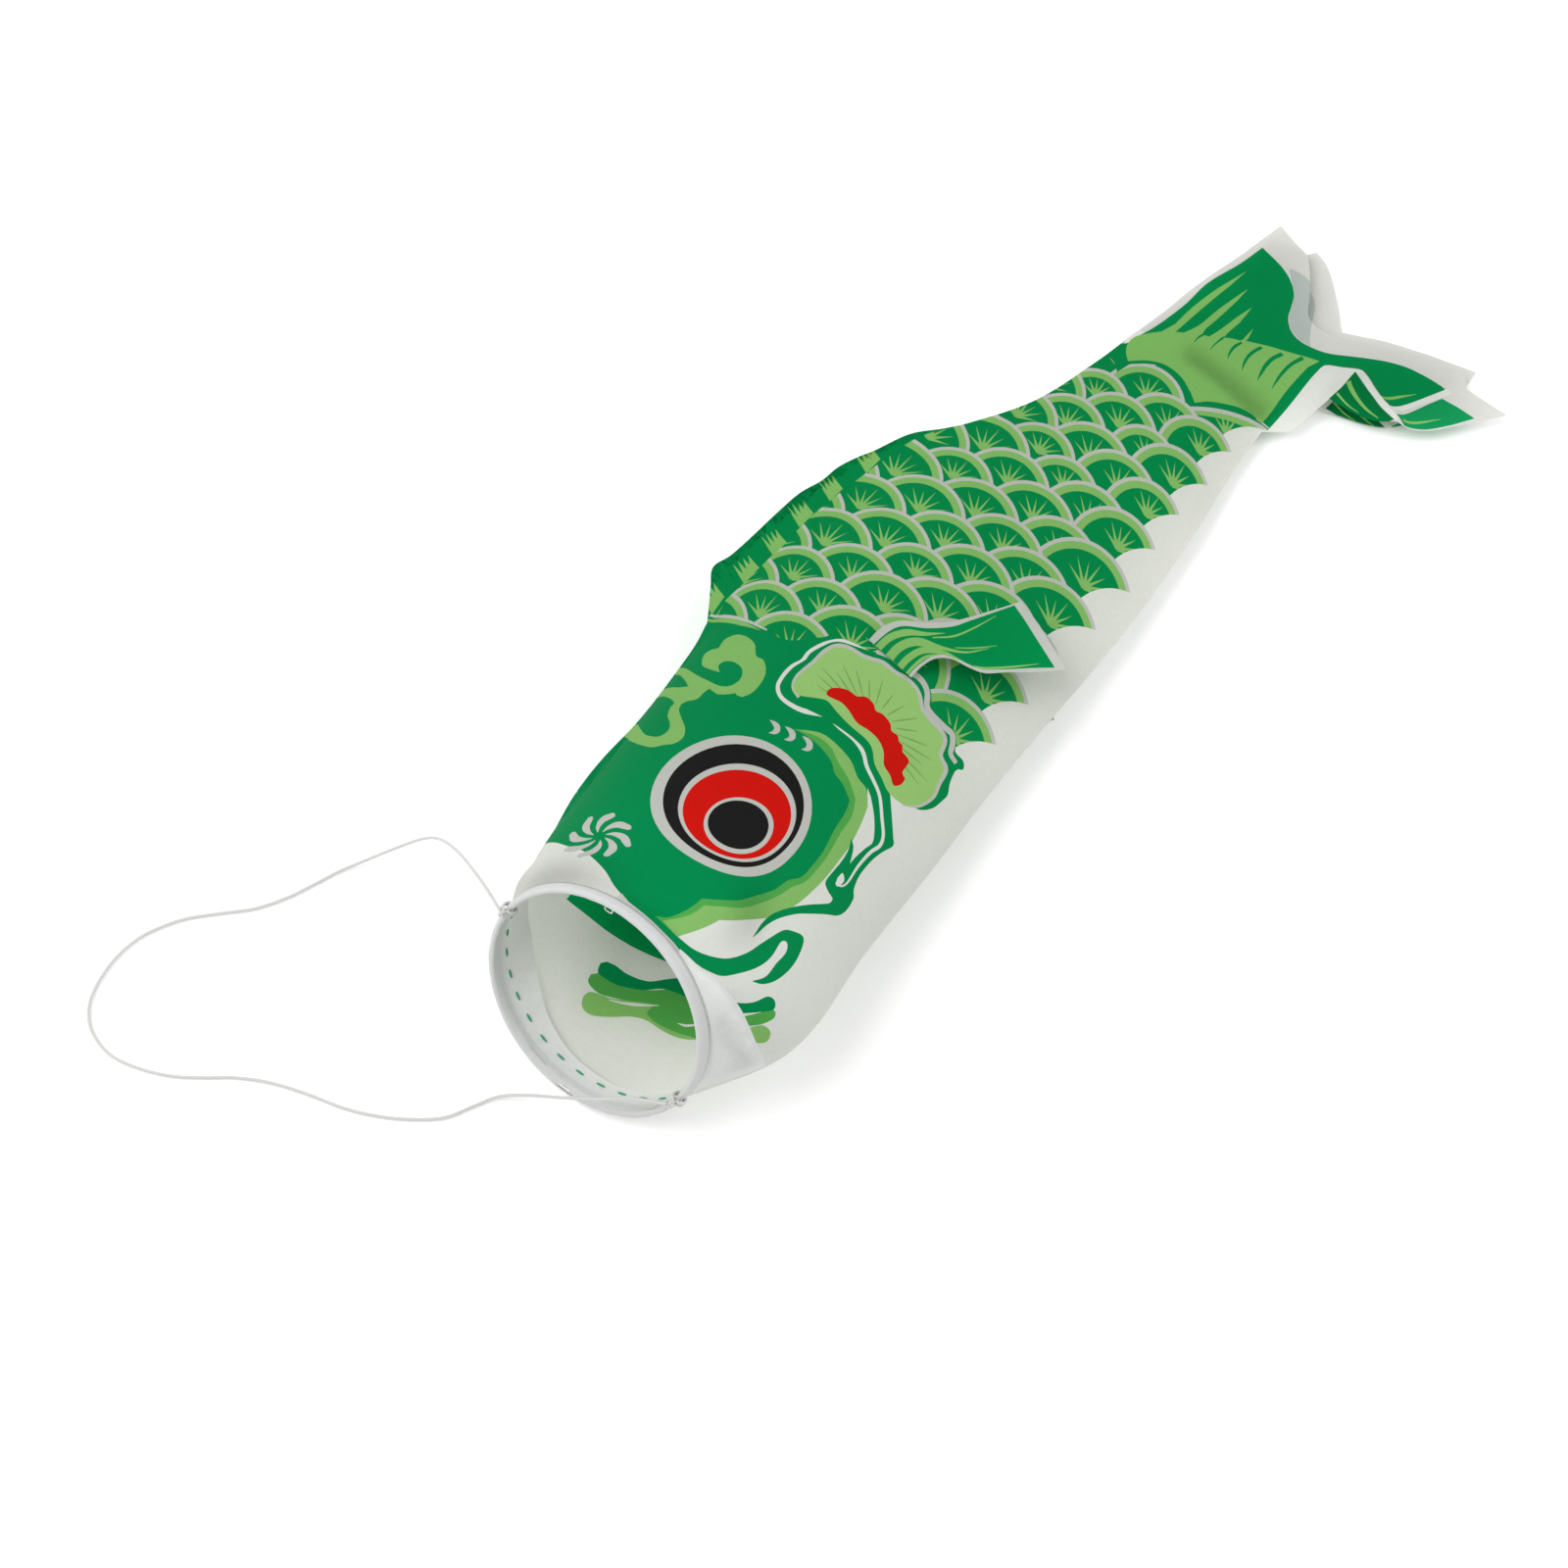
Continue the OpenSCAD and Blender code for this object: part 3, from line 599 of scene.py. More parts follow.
def tail_print():
    """The light patch before the tail and the tail's green with its rays."""
    layers = []
    layers.append(("scale", outline(
        [(424, 98), (428, 90), (426, 84), (421.6, 79)],
        [(430, 76), (436, 68), (439.5, 59.6), (438.8, 49.6), (435, 41), (431, 35.5)],
        [(438.5, 28.4), (446, 17), (451.6, 6), (452.4, -2)],
        [(453, -2), (470, 0), (490, 2.6), (499.6, 2.8), (504, -4), (508.4, -14)],
        [(508.6, -16), (503.6, -30), (502.6, -37)],
        [(510, -40), (520, -44), (533, -49.6)],
        [(533.4, -46), (532.6, -38), (530, -27), (525.6, -18), (520, -10), (513.6, -2), (507.4, 6),
         (504, 13.6), (502.6, 22), (504.6, 29), (510, 35), (517, 38.6), (524.6, 43), (530.6, 50.6),
         (534.4, 60), (537, 74)],
        [(537, 74.2), (520, 75.6), (498, 78.6), (480, 78), (460, 80), (448, 83), (440, 86), (432, 98)],
    )))
    layers.append(("patch", outline(
        [(431, 78), (435, 82), (440, 84.6), (446, 84.4), (452, 80.4), (457.6, 75.6)],
        [(466, 73.6), (480, 74), (496, 73), (508, 71.4), (519, 70)],
        [(506, 69.4), (490, 69.8), (474, 70), (462, 70)],
        [(464.4, 66.4), (474, 64), (488, 63.6), (500, 62.6), (510, 61.6)],
        [(500, 60.4), (486, 60), (474, 60), (470, 58.6)],
        [(471.6, 55.4), (480, 54.4), (492, 53.6), (502, 52.2)],
        [(490, 50.4), (482, 50.4), (476.4, 50)],
        [(479.6, 45.6), (481.6, 42.4), (486, 42.6), (492, 43)],
        [(486, 41), (483, 40.6)],
        [(489, 30), (493.6, 20), (497.6, 12), (500, 6.4)],
        [(493, 8.2), (484, 7.6), (474, 6.6), (462, 4.6), (451.6, 3.2)],
        [(451.6, 10), (447.6, 18.6), (440, 29.8), (433.4, 35.8)],
        [(436.8, 41), (440.6, 49.6), (441.2, 60), (437.6, 69.4), (431, 78)],
    )))
    for line, widths in (
        ([(463, 58.6), (467, 59), (471, 58.4)], [0.3, 1.0, 1.6]),
        ([(465, 49.8), (470, 50.2), (476.6, 50)], [0.3, 0.9, 1.4]),
        ([(467, 39.6), (471, 41.4), (476, 42.2), (480.6, 41.4)], [0.3, 1.3, 1.8, 1.4]),
        ([(467, 30), (471, 32), (476, 33.4), (481, 33.4), (485.6, 32.4)], [0.3, 1.4, 1.8, 2.0, 2.0]),
        ([(468, 20.6), (472, 22), (478, 23.6), (484, 24), (490, 22.4)], [0.3, 1.6, 2.2, 2.2, 2.4]),
        ([(470, 12.6), (474, 13.6), (480, 14.8), (488, 15.2), (495.6, 13.6)], [0.3, 1.4, 1.8, 2.0, 2.4]),
    ):
        layers.append(("scale", stroke(line, widths)))
    layers.append(("belly", outline(
        [(449.6, -1.6), (470, 0.2), (490, 2.8), (499.6, 3)],
        [(499.6, 3), (504, -4), (509.2, -14.6), (506, -24), (502.8, -33), (499.6, -45)],
        [(497.2, -43), (498.6, -34), (501.6, -24), (505.4, -12.4)],
        [(490, -14), (470, -14), (446, -8)],
    )))
    layers.append(("tail", outline(
        [(485.6, -11.4), (505.4, -11.4)],
        [(501.6, -23), (498.8, -33), (497.4, -43)],
        [(494, -40), (488.4, -30), (486.6, -20)],
    )))
    layers.append(("patch", stroke([(500, -12), (496.6, -20), (494.6, -28), (494.4, -36)],
                                   [2.4, 2.0, 1.4, 0.4])))
    layers.append(("light", stroke([(491.4, -12), (490, -20), (490.4, -27)], [1.4, 1.0, 0.3])))
    layers.append(("belly", stroke([(502.4, -37.4), (512, -42), (522, -46), (534, -50.6)],
                                   [2.6, 2.8, 3.2, 3.6])))
    layers.append(("curl", outline(
        [(500.6, -41.6), (510, -45), (520, -48), (527.6, -50.6)],
        [(529, -60), (529.4, -69.6)],
        [(518, -64), (507, -57), (499.4, -48)],
    )))
    layers.append(("light", stroke([(501, -46), (508, -52), (517, -58)], [1.6, 1.4, 0.2])))
    layers.append(("patch", stroke([(503.8, -30), (511, -34), (520.4, -40)], [2.0, 1.6, 0.2])))
    # Painted shade: grey where the far tail layer shows through the near one
    layers.append(("through", outline(
        [(531.4, 50.4), (536, 55), (537.4, 46), (534, 36), (527, 30), (518, 25.6), (507, 18.4),
         (503.8, 15)],
        [(502.8, 22), (504.8, 29), (510.2, 34.8), (517.2, 38.4), (524.8, 42.8)],
    )))
    return layers


def barbels():
    """The barbels under the lip."""
    return [
        ("light", outline([(14, 32), (20, 30), (25, 28), (28, 23), (26.5, 18.8), (22, 20.6), (18, 26)],
                          [(14, 30)])),
        ("middle", outline([(12, 40), (18, 36.6), (26, 34), (31.6, 31.6), (31, 28.2), (24.6, 28.8),
                            (18, 31.6)],
                           [(12, 36)])),
        ("face", outline([(12, 48), (18, 43), (24, 40), (31, 38.6), (33.6, 35), (32, 31.8), (27, 33.6),
                          (18, 38)],
                         [(12, 43)])),
    ]


def chin_flap():
    """The plain cloth along the rim, with the fold below the chin over the barbels' ends; the fold is painted
    a lighter white, as painted light, and the strip at the lip a greyer white, as painted shade.
    """
    edge = np.array(CHIN_FOLD, float)
    return [
        # The fold in the lighter white, painted light
        ("flap", outline(CHIN_FOLD, [(28, -2), (-2, -2)], [(-2, 76)])),
        ("flap", outline(edge[::-1].tolist(), (edge + [1.0, 0]).tolist())),
        # The strip at the lip in the greyer white, painted shade
        ("hem", outline([(-1, 74), (4.6, 76), (4.6, 87), (4.9, 100)], [(5.6, 106), (8, 111)], [(-1, 111)])),
    ]


def rim_band():
    """The plain cloth along the rim of the far side, in the greyer white that carries painted shade."""
    return [("hem", polygon((-2, -2), (4, -2), (4, 200), (-2, 200)))]


def far_barbels():
    """The barbels and the edge of the head's green on the far side, seen through the mouth."""
    return [
        ("light", outline([(40, 56), (37.4, 62), (36.3, 70), (36, 80), (33.5, 86), (29.3, 90), (24.7, 95),
                           (24, 100), (26.5, 104.4), (29.3, 105.8), (31.4, 104), (34, 98), (40, 90),
                           (46, 80), (48, 60)])),
        ("middle", outline([(34.7, 112.5), (32, 110), (32, 103.3), (34.5, 98), (38, 92), (41, 87),
                            (42, 83.5), (38.5, 83), (37.4, 78), (38, 70), (39.4, 62), (42, 56), (54, 60),
                            (58, 74), (50, 84), (44.3, 91.7), (39.7, 100), (38, 107), (37.3, 111)])),
        ("belly", stroke([(33, 98), (37, 91), (43.2, 81.7)], [0.4, 1.5, 0.3])),
        ("belly", stroke([(41.8, 69.2), (42.6, 65.6), (45, 62)], [0.3, 1.3, 1.0])),
        ("face", outline([(40.2, 114), (37.3, 111.7), (37.7, 106.7), (39.7, 100), (44.3, 91.7),
                          (49, 85.8), (51.4, 78), (52, 70)], [(64, 66)],
                         [(64, 72), (56, 83.3), (52.7, 87.5), (47.7, 93.3), (44.7, 101.7), (43.8, 108.3),
                          (42.4, 112.6)])),
        # The far side's green, painted lighter than the face's to lift the shade deep in the mouth
        ("wedge", outline([(44, 146), (47.6, 134), (50.6, 120), (54, 106), (58, 92)], [(66, 92), (66, 146)])),
    ]


def far_side(layers):
    """The head's print on the far side, which sits further back from the rim there."""
    moved = []
    for colour, shape in layers:
        a, b = shape[:, 0], shape[:, 1]
        back = 40 * (1 - ease((a - 30) / 170))
        moved.append((colour, np.stack([a + back, b], -1)))
    return moved


def side_outline(tail_edge, side):
    """The cut edge of one side of the fish, with its fold along the belly."""
    margin = [(0.5, 1), (20, 1.5), (60, 2), (110, 1), (150, 1), (168, 2), (172, 3), (185, 10.4),
              (194, 16), (205, 13.5), (220, 13), (240, 14), (255, 14.6), (268, 13), (280, 14), (292, 13),
              (300, 12), (320, 12.4), (335, 7.4), (348, 4.6), (380, 1.6), (420, 1), (448, 1.6)]
    back = [(a, side.width(a) + out) for a, out in margin]
    mouth_width = side.width(0)
    belly = [(0, 0), (60, 0), (120, 0), (200, 0), (300, 0), (400, 0), (448, 0)]
    mouth = [(0, mouth_width), (0, mouth_width / 2), (0, 1.6)]
    return outline(belly, *tail_edge, back[::-1], mouth)


LEFT_TAIL_EDGE = (
    [(450, -2), (455, -7), (461, -10.4), (486, -11.6)],
    [(487.6, -21), (490, -31), (496, -42), (500, -50), (508, -59), (520, -66.6), (542, -80)],
    [(541.4, -66), (541, -56)],
    [(547, -50), (543, -38), (536, -20), (526, -2), (518, 11), (516, 20), (519, 29), (530, 37),
     (541, 46), (549, 54)],
    [(551, 64), (554.6, 76.6)],
    [(528, 78.6), (500, 81), (470, 83)],
)

RIGHT_TAIL_EDGE = (
    [(460, 2), (480, -6), (498, -40), (530, -56)],
    [(557, -51)],
    [(549, -28), (540, -8), (533, 4), (528, 12.6)],
    [(538, 23), (548, 35), (555, 45), (558, 54)],
    [(551, 58), (546, 74)],
    [(500, 80), (470, 83)],
)


# ---- meshes


def signed_area(shape):
    """A flat shape's area, negative where its points run clockwise."""
    a, b = shape[:, 0], shape[:, 1]
    return (a @ np.roll(b, -1) - b @ np.roll(a, -1)) / 2


def anticlockwise(shape):
    """A flat shape with its points turned to run anticlockwise."""
    return shape if signed_area(shape) > 0 else shape[::-1]


def painted_fold_shade(a, b):
    """Painted shade in the cloth's folds, as a factor on the print's colours: before the tail, at the nose,
    at the lip and at the chin.
    """
    tail = 0.3 * np.exp(-(((a - 457) / 6) ** 2)) * ease(b / 10) * ease((64 - b) / 12)
    nose = 0.34 * np.exp(-(((a - 8) / 16) ** 2) - ((b - 146) / 28) ** 2)
    lip = 0.26 * np.exp(-(((a - 48) / 20) ** 2) - ((b - 67) / 9) ** 2)
    chin = 0.16 * np.exp(-((near_path(a, b, [(8, 40), (13, 25), (19, 9)]) / 3.2) ** 2))
    return 1 - tail - nose - lip - chin


def printed_mesh(name, edge, layers, place, ground, spacing=5.0, painted_shade=None):
    """A sheet cut to edge, with the layers of its print as crisp face colours, which an optional shade
    function darkens with painted shade.
    """
    lo, hi = edge.min(axis=0), edge.max(axis=0)
    rows = np.arange(lo[1] + spacing / 3, hi[1], spacing * 0.87)
    grid = np.array([
        (a + (spacing / 2 if k % 2 else 0), b)
        for k, b in enumerate(rows)
        for a in np.arange(lo[0] + spacing / 3, hi[0], spacing)
    ])
    shapes = [anticlockwise(shape) for shape in [edge] + [shape for _, shape in layers]]
    points = np.concatenate([*shapes, grid])
    faces, first = [], 0
    for shape in shapes:
        faces.append(list(range(first, first + len(shape))))
        first += len(shape)
    flat, _, triangles, _, _, owners = delaunay_2d_cdt(points.tolist(), [], faces, 0, 1e-4)
    flat = np.array([tuple(p) for p in flat])
    colours = np.array([linear(ground)] + [linear(colour) for colour, _ in layers])
    kept, paint = [], []
    for triangle, owner in zip(triangles, owners):
        if 0 in owner:
            kept.append(triangle)
            paint.append(max(owner))
    used = np.unique(np.array(kept).ravel())
    renumbered = np.full(len(flat), -1)
    renumbered[used] = np.arange(len(used))
    flat = flat[used]
    corners = renumbered[np.array(kept)]
    sheet = mesh_object(name, place(flat[:, 0], flat[:, 1]), corners.tolist())
    printed = np.repeat(colours[paint], 3, axis=0)
    # Painted shade multiplied into the print's colours
    if painted_shade:
        printed[:, :3] *= painted_shade(*flat[corners.ravel()].T)[:, None]
    attribute = sheet.data.color_attributes.new("print", "FLOAT_COLOR", "CORNER")
    attribute.data.foreach_set("color", printed.astype(np.float32).ravel())
    return sheet


def mesh_object(name, points, faces):
    """A smooth mesh object from points in millimetres."""
    mesh = bpy.data.meshes.new(name)
    mesh.from_pydata((points.reshape(-1, 3) * MM).tolist(), [], faces)
    mesh.update()
    mesh.shade_smooth()
    obj = bpy.data.objects.new(name, mesh)
    bpy.context.scene.collection.objects.link(obj)
    return obj


def grid_faces(m, n, loop_across, loop_along, capped, first=0):
    """Faces between m rows of n points, from the first point on; capped closes the first and the last row."""
    faces = [
        (i * n + j, i * n + (j + 1) % n, (i + 1) % m * n + (j + 1) % n, (i + 1) % m * n + j)
        for i in range(m if loop_along else m - 1)
        for j in range(n if loop_across else n - 1)
    ]
    if capped:
        faces += [tuple(reversed(range(n))), tuple(range((m - 1) * n, m * n))]
    return [tuple(first + corner for corner in face) for face in faces]


def grid_mesh(name, rows, loop_across=False, loop_along=False, capped=False):
    """A mesh through rows of points, in millimetres."""
    rows = np.asarray(rows)
    return mesh_object(name, rows, grid_faces(*rows.shape[:2], loop_across, loop_along, capped))


def carried_frames(path, loop=False):
    """Directions across a path that turn as little as they can along it."""
    if loop:
        along = unit(np.roll(path, -1, axis=0) - np.roll(path, 1, axis=0))
    else:
        along = unit(np.gradient(path, axis=0))
    across = np.empty_like(path)
    first = np.cross(along[0], [0.0, 0.0, 1.0])
    across[0] = unit(first if np.linalg.norm(first) > 0.1 else np.cross(along[0], [0.0, 1.0, 0.0]))
    for i in range(1, len(path)):
        across[i] = unit(across[i - 1] - along[i] * (across[i - 1] @ along[i]))
    return across, np.cross(along, across)


def tube(name, path, radius, sides=10, plies=0, lay=6.0, loop=False):
    """A round or twisted strand along a path, in millimetres. lay is the length of one twist."""
    across, up = carried_frames(path, loop)
    length = travelled(path)
    angle = np.arange(sides) * 2 * np.pi / sides
    rows = []
    for i, p in enumerate(path):
        r = np.full(sides, float(radius))
        if plies:
            r *= 1 - 0.16 * (1 - np.abs(np.cos(plies / 2 * (angle - 2 * np.pi * length[i] / lay))))
        rows.append(p + r[:, None] * (np.cos(angle)[:, None] * across[i] + np.sin(angle)[:, None] * up[i]))
    return grid_mesh(name, rows, loop_across=True, loop_along=loop, capped=not loop)


def resampled(path, spacing):
    """A path with points at an even spacing, on a smooth curve through its points."""
    p = np.array(path, float)
    shares = np.linspace(0, 1, 24, endpoint=False)
    dense = np.array([spline_point(p, i, t) for i in range(len(p) - 1) for t in shares] + [p[-1]])
    length = travelled(dense)
    at = np.linspace(0, length[-1], max(3, int(length[-1] / spacing)))
    return np.stack([np.interp(at, length, dense[:, k]) for k in range(3)], -1)


# ---- materials

# Length of one wave of a wave texture at a scale of 1, in metres
WAVE_LENGTH = 0.314


class Material:
    """A material with a Principled shader, and short forms for the nodes that repeat."""

    def __init__(self, name):
        self.material = bpy.data.materials.new(name)
        self.material.use_nodes = True
        self.nodes = self.material.node_tree.nodes
        self.shader = self.nodes["Principled BSDF"]

    def feed(self, node, inputs):
        """Links each of a node's inputs to an output, or sets its value."""
        for key, value in inputs.items():
            if isinstance(value, bpy.types.NodeSocket):
                self.material.node_tree.links.new(value, node.inputs[key])
            else:
                node.inputs[key].default_value = value

    def node(self, kind, inputs, **settings):
        """Adds a node and gives its outputs."""
        node = self.nodes.new(kind)
        for setting, value in settings.items():
            setattr(node, setting, value)
        self.feed(node, inputs)
        return node.outputs

    def place(self):
        """The place on the object in its own coordinates."""
        return self.node("ShaderNodeTexCoord", {})["Object"]

    def colour(self, rgba):
        """A plain colour."""
        outputs = self.node("ShaderNodeRGB", {})
        outputs["Color"].default_value = rgba
        return outputs["Color"]

    def noise(self, scale, detail=3.0, stretch=(1, 1, 1)):
        """A noise texture stretched along the axes."""
        place = self.node("ShaderNodeMapping", {"Vector": self.place(), "Scale": stretch})["Vector"]
        return self.node("ShaderNodeTexNoise", {"Vector": place, "Scale": scale, "Detail": detail})["Fac"]

    def ranged(self, value, low, high):
        """A 0 to 1 value as one from low to high."""
        return self.node("ShaderNodeMapRange", {"Value": value, "To Min": low, "To Max": high})["Result"]

    def shaded(self, colour, value):
        """A colour darkened or lightened by a value."""
        grey = self.node("ShaderNodeCombineColor", {"Red": value, "Green": value, "Blue": value})["Color"]
        inputs = {"Factor": 1.0, "A": colour, "B": grey}
        return self.node("ShaderNodeMix", inputs, data_type="RGBA", blend_type="MULTIPLY")["Result"]

    def weave(self, pitch):
        """The height of a plain weave, with one thread over and one under, for a pitch in metres."""
        scale = WAVE_LENGTH / (2 * pitch)
        inputs = {"Vector": self.place(), "Scale": scale, "Distortion": 0.6, "Detail": 1.0}
        across, along = (
            self.node("ShaderNodeTexWave", inputs, bands_direction=direction)["Fac"] for direction in "XY"
        )
        return self.node("ShaderNodeMath", {0: across, 1: along}, operation="MULTIPLY")["Value"]

    def bump(self, height, strength, distance, **normal):
        """A normal that is bent by a height, on top of another normal where one is given."""
        inputs = {"Height": height, "Strength": strength, "Distance": distance, **normal}
        return self.node("ShaderNodeBump", inputs)["Normal"]


def cloth_material(name, colour=None, thinness=0.34, crinkle=0.25):
    """Thin woven polyester: its print or plain colour, fine weave, soft creases and the light through it."""
    m = Material(name)
    if colour is None:
        base = m.node("ShaderNodeVertexColor", {}, layer_name="print")["Color"]
    else:
        base = m.colour(linear(colour))
    cloudy = m.noise(14)
    base = m.shaded(base, m.ranged(m.noise(900, 2.0, (1, 0.2, 1)), 0.95, 1.05))
    base = m.shaded(base, m.ranged(cloudy, 0.93, 1.07))
    creased = m.bump(m.noise(26, 4.0, (1, 2.2, 1)), crinkle, 0.004)
    normal = m.bump(m.weave(0.0005), 0.25, 0.0001, Normal=creased)
    m.feed(m.shader, {
        "Base Color": base,
        "Roughness": m.ranged(cloudy, 0.48, 0.68),
        "Specular IOR Level": 0.04,
        "Normal": normal,
    })
    through = m.node("ShaderNodeBsdfTranslucent", {"Color": base, "Normal": normal})["BSDF"]
    mixed = m.node("ShaderNodeMixShader", {"Fac": thinness, 1: m.shader.outputs["BSDF"], 2: through})
    m.feed(m.nodes["Material Output"], {"Surface": mixed["Shader"]})
    return m.material


def thread_material(name, rgb):
    """Twisted thread or cord, with fine fibres."""
    m = Material(name)
    fibres = m.noise(2200, 3.0, (1, 1, 0.5))
    m.feed(m.shader, {
        "Base Color": m.shaded(m.colour((*rgb, 1)), m.ranged(fibres, 0.82, 1.1)),
        "Roughness": 0.7,
        "Sheen Weight": 0.3,
        "Normal": m.bump(fibres, 0.4, 0.0002),
    })
    return m.material


def metal_material(name, rgb, roughness):
    """Drawn steel wire with fine marks along it."""
    m = Material(name)
    marks = m.noise(700, 4.0, (1, 1, 0.1))
    m.feed(m.shader, {
        "Base Color": m.shaded(m.colour((*rgb, 1)), m.ranged(marks, 0.75, 1.0)),
        "Metallic": 1.0,
        "Roughness": m.ranged(marks, roughness, roughness + 0.2),
        "Normal": m.bump(marks, 0.15, 0.0001),
    })
    return m.material


PRINTED = cloth_material("printed_polyester")
# The hem and the facing take the lighter white, which carries painted light
WHITE_CLOTH = cloth_material("white_polyester", "flap", 0.4, 0.3)
CORD = thread_material("white_cord", (0.6, 0.6, 0.58))
GREEN_THREAD = thread_material("green_thread", (0.02, 0.3, 0.14))
WHITE_THREAD = thread_material("white_thread", (0.66, 0.66, 0.64))
WIRE = metal_material("hoop_steel", (0.62, 0.62, 0.62), 0.25)
SLEEVE = metal_material("sleeve_steel", (0.5, 0.5, 0.48), 0.35)


def finish_piece(obj, material, body=None):
    """Gives a piece its material, and lets it ride a body where one is given."""
    obj.data.materials.clear()
    obj.data.materials.append(material)
    if body:
        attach(obj, body)


def repaint(node, material):
    """Gives a CAD node its finished material."""
    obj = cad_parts[node]
    for k in range(len(obj.material_slots)):
        obj.material_slots[k].material = material


# ---- camera and bridle

camera_data = bpy.data.cameras.new("camera")
camera_data.lens = 56.25
camera_data.sensor_width = 36
camera_data.clip_end = 20
camera = bpy.data.objects.new("camera", camera_data)
bpy.context.scene.collection.objects.link(camera)
bpy.context.scene.camera = camera


def aim(obj, location, target):
    """Puts an object at a location, looking at a target."""
    direction = Vector(target) - Vector(location)
    obj.location = location
    obj.rotation_euler = direction.to_track_quat("-Z", "Y").to_euler()


aim(camera, (-0.4709, -0.3494, 1.0246), (-0.1175, 0.004, 0.0))

HOOP_UP = np.array([math.sin(LEAN) * math.cos(TURN), math.sin(LEAN) * math.sin(TURN), math.cos(LEAN)])
HOOP_BACK = np.array([-math.sin(TURN), math.cos(TURN), 0.0])
HOOP_OUT = np.array([-math.cos(LEAN) * math.cos(TURN), -math.cos(LEAN) * math.sin(TURN), math.sin(LEAN)])
HOOP_MIDDLE = np.array([MOUTH[0], MOUTH[1], MOUTH_HEIGHT]) + HEM_DIAMETER / 2 * HOOP_OUT
NOSE_ANGLE = math.pi / 2 - NOSE_ROLL
KNOT_LINE = HOOP_UP * math.cos(NOSE_ANGLE) + HOOP_BACK * math.sin(NOSE_ANGLE)
KNOT_OUT = HEM_DIAMETER / 2 + CORD_DIAMETER + KNOT_DIAMETER / 4


def knot_ball(end):
    """Middle of a knot's ball, at the nose (1) or at the chin (-1)."""
    return HOOP_MIDDLE + KNOT_OUT * HOOP_OUT + end * HOOP_RADIUS * KNOT_LINE


def bridle():
    """The loop of cord from the nose knot to the chin knot."""
    nose, chin = knot_ball(1), knot_ball(-1)
    clear = KNOT_DIAMETER / 2 + CLEARANCE
    points = np.concatenate([
        [nose + clear * unit(ROUTE[0] - nose)], ROUTE, [chin + clear * unit(ROUTE[-1] - chin)],
    ])
    path = resampled(points, 0.7)
    cord = tube("bridle_line", path, CORD_DIAMETER / 2, sides=12, plies=3, lay=5.5)
    finish_piece(cord, CORD, "bridle")
    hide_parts("bridle_cord")


bridle()

# ---- cloth


def body_cloth(name, side, tail_edge, layers, replaced, painted_shade=None):
    """One side of the fish with its tail."""
    edge = side_outline(tail_edge, side)
    cloth = printed_mesh(name, edge, layers, side.place, "belly", painted_shade=painted_shade)
    finish_piece(cloth, PRINTED)
    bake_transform(cloth)
    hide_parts(*replaced)


head = scales() + face() + gill() + eye() + ornaments()
rear = dorsal_fin() + tail_print()
plain_front = [("belly", polygon((-2, -2), (62, -2), (62, 150), (-2, 150)))]
left_print = tail_margin() + head + barbels() + rear + chin_flap()
right_print = far_side(head) + tail_margin() + rear + plain_front + far_barbels() + rim_band()
LEFT_NODES = ("left_panel", "left_tail", "dorsal_margin")
# The left side's print is darkened with painted shade in its folds
body_cloth("left_cloth", LEFT, LEFT_TAIL_EDGE, left_print, LEFT_NODES, painted_fold_shade)
body_cloth("right_cloth", RIGHT, RIGHT_TAIL_EDGE, right_print, ("right_panel", "right_tail"))

# ---- mouth

ROUND_STEPS = 240
ROUND_ANGLES = np.arange(ROUND_STEPS) * 360 / ROUND_STEPS
ROUND_ANGLES = np.where(ROUND_ANGLES > 270, ROUND_ANGLES - 360, ROUND_ANGLES)


def mouth_ring(depth, inset=0.0):
    """A ring of points on the trunk at a depth behind the mouth."""
    on_left = np.cos(np.radians(ROUND_ANGLES)) >= 0
    v = np.where(on_left, ROUND_ANGLES, 180 - ROUND_ANGLES) / 90
    v = np.where(v > 1, v - 4, v)
    depth = np.broadcast_to(depth, (ROUND_STEPS,))
    return np.where(on_left[:, None], trunk_point(depth, v, 1, inset), trunk_point(depth, v, -1, inset))


# Unit vectors back along the trunk and outwards from it, round the mouth
BACKWARDS = unit(mouth_ring(9.0) - mouth_ring(0.0))
OUTWARDS = mouth_ring(0.0) - mouth_ring(0.0).mean(axis=0)
OUTWARDS = unit(OUTWARDS - (OUTWARDS * BACKWARDS).sum(axis=1, keepdims=True) * BACKWARDS)
RIM = mouth_ring(0.0) + HEM_DIAMETER / 2 * HOOP_OUT


def mouth_hem():
    """The cloth that is wrapped round the hoop and sewn down behind it, wider over the hoop's sleeve."""
    angles = np.radians(ROUND_ANGLES)
    pucker = 0.05 * np.sin(34 * angles) + 0.05 * np.sin(21 * angles + 1) + 0.04 * np.sin(9 * angles + 2)
    over_sleeve = 0.3 * np.exp(-(((ROUND_ANGLES - 180) / 7) ** 2))
    profile = [(4.6, 0.2), (3, 0.75), (1.4, 1.2), (0, 1.4), (-0.9, 1.2), (-1.35, 0.6), (-1.5, 0),
               (-1.35, -0.6), (-0.9, -1.2), (0, -1.45), (1.4, -1.45), (2.6, -1.35), (2.6, -1.0), (1.6, -0.6)]
    rows = []
    for along, out in profile:
        swell = 1 + pucker * (1 if abs(out) > 1 else 0.5) + over_sleeve
        rows.append(RIM + BACKWARDS * along + OUTWARDS * (out * swell)[:, None])
    hem = grid_mesh("hem_cloth", rows, loop_across=True, loop_along=True)
    finish_piece(hem, WHITE_CLOTH, "fish")
    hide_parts("mouth_hem")


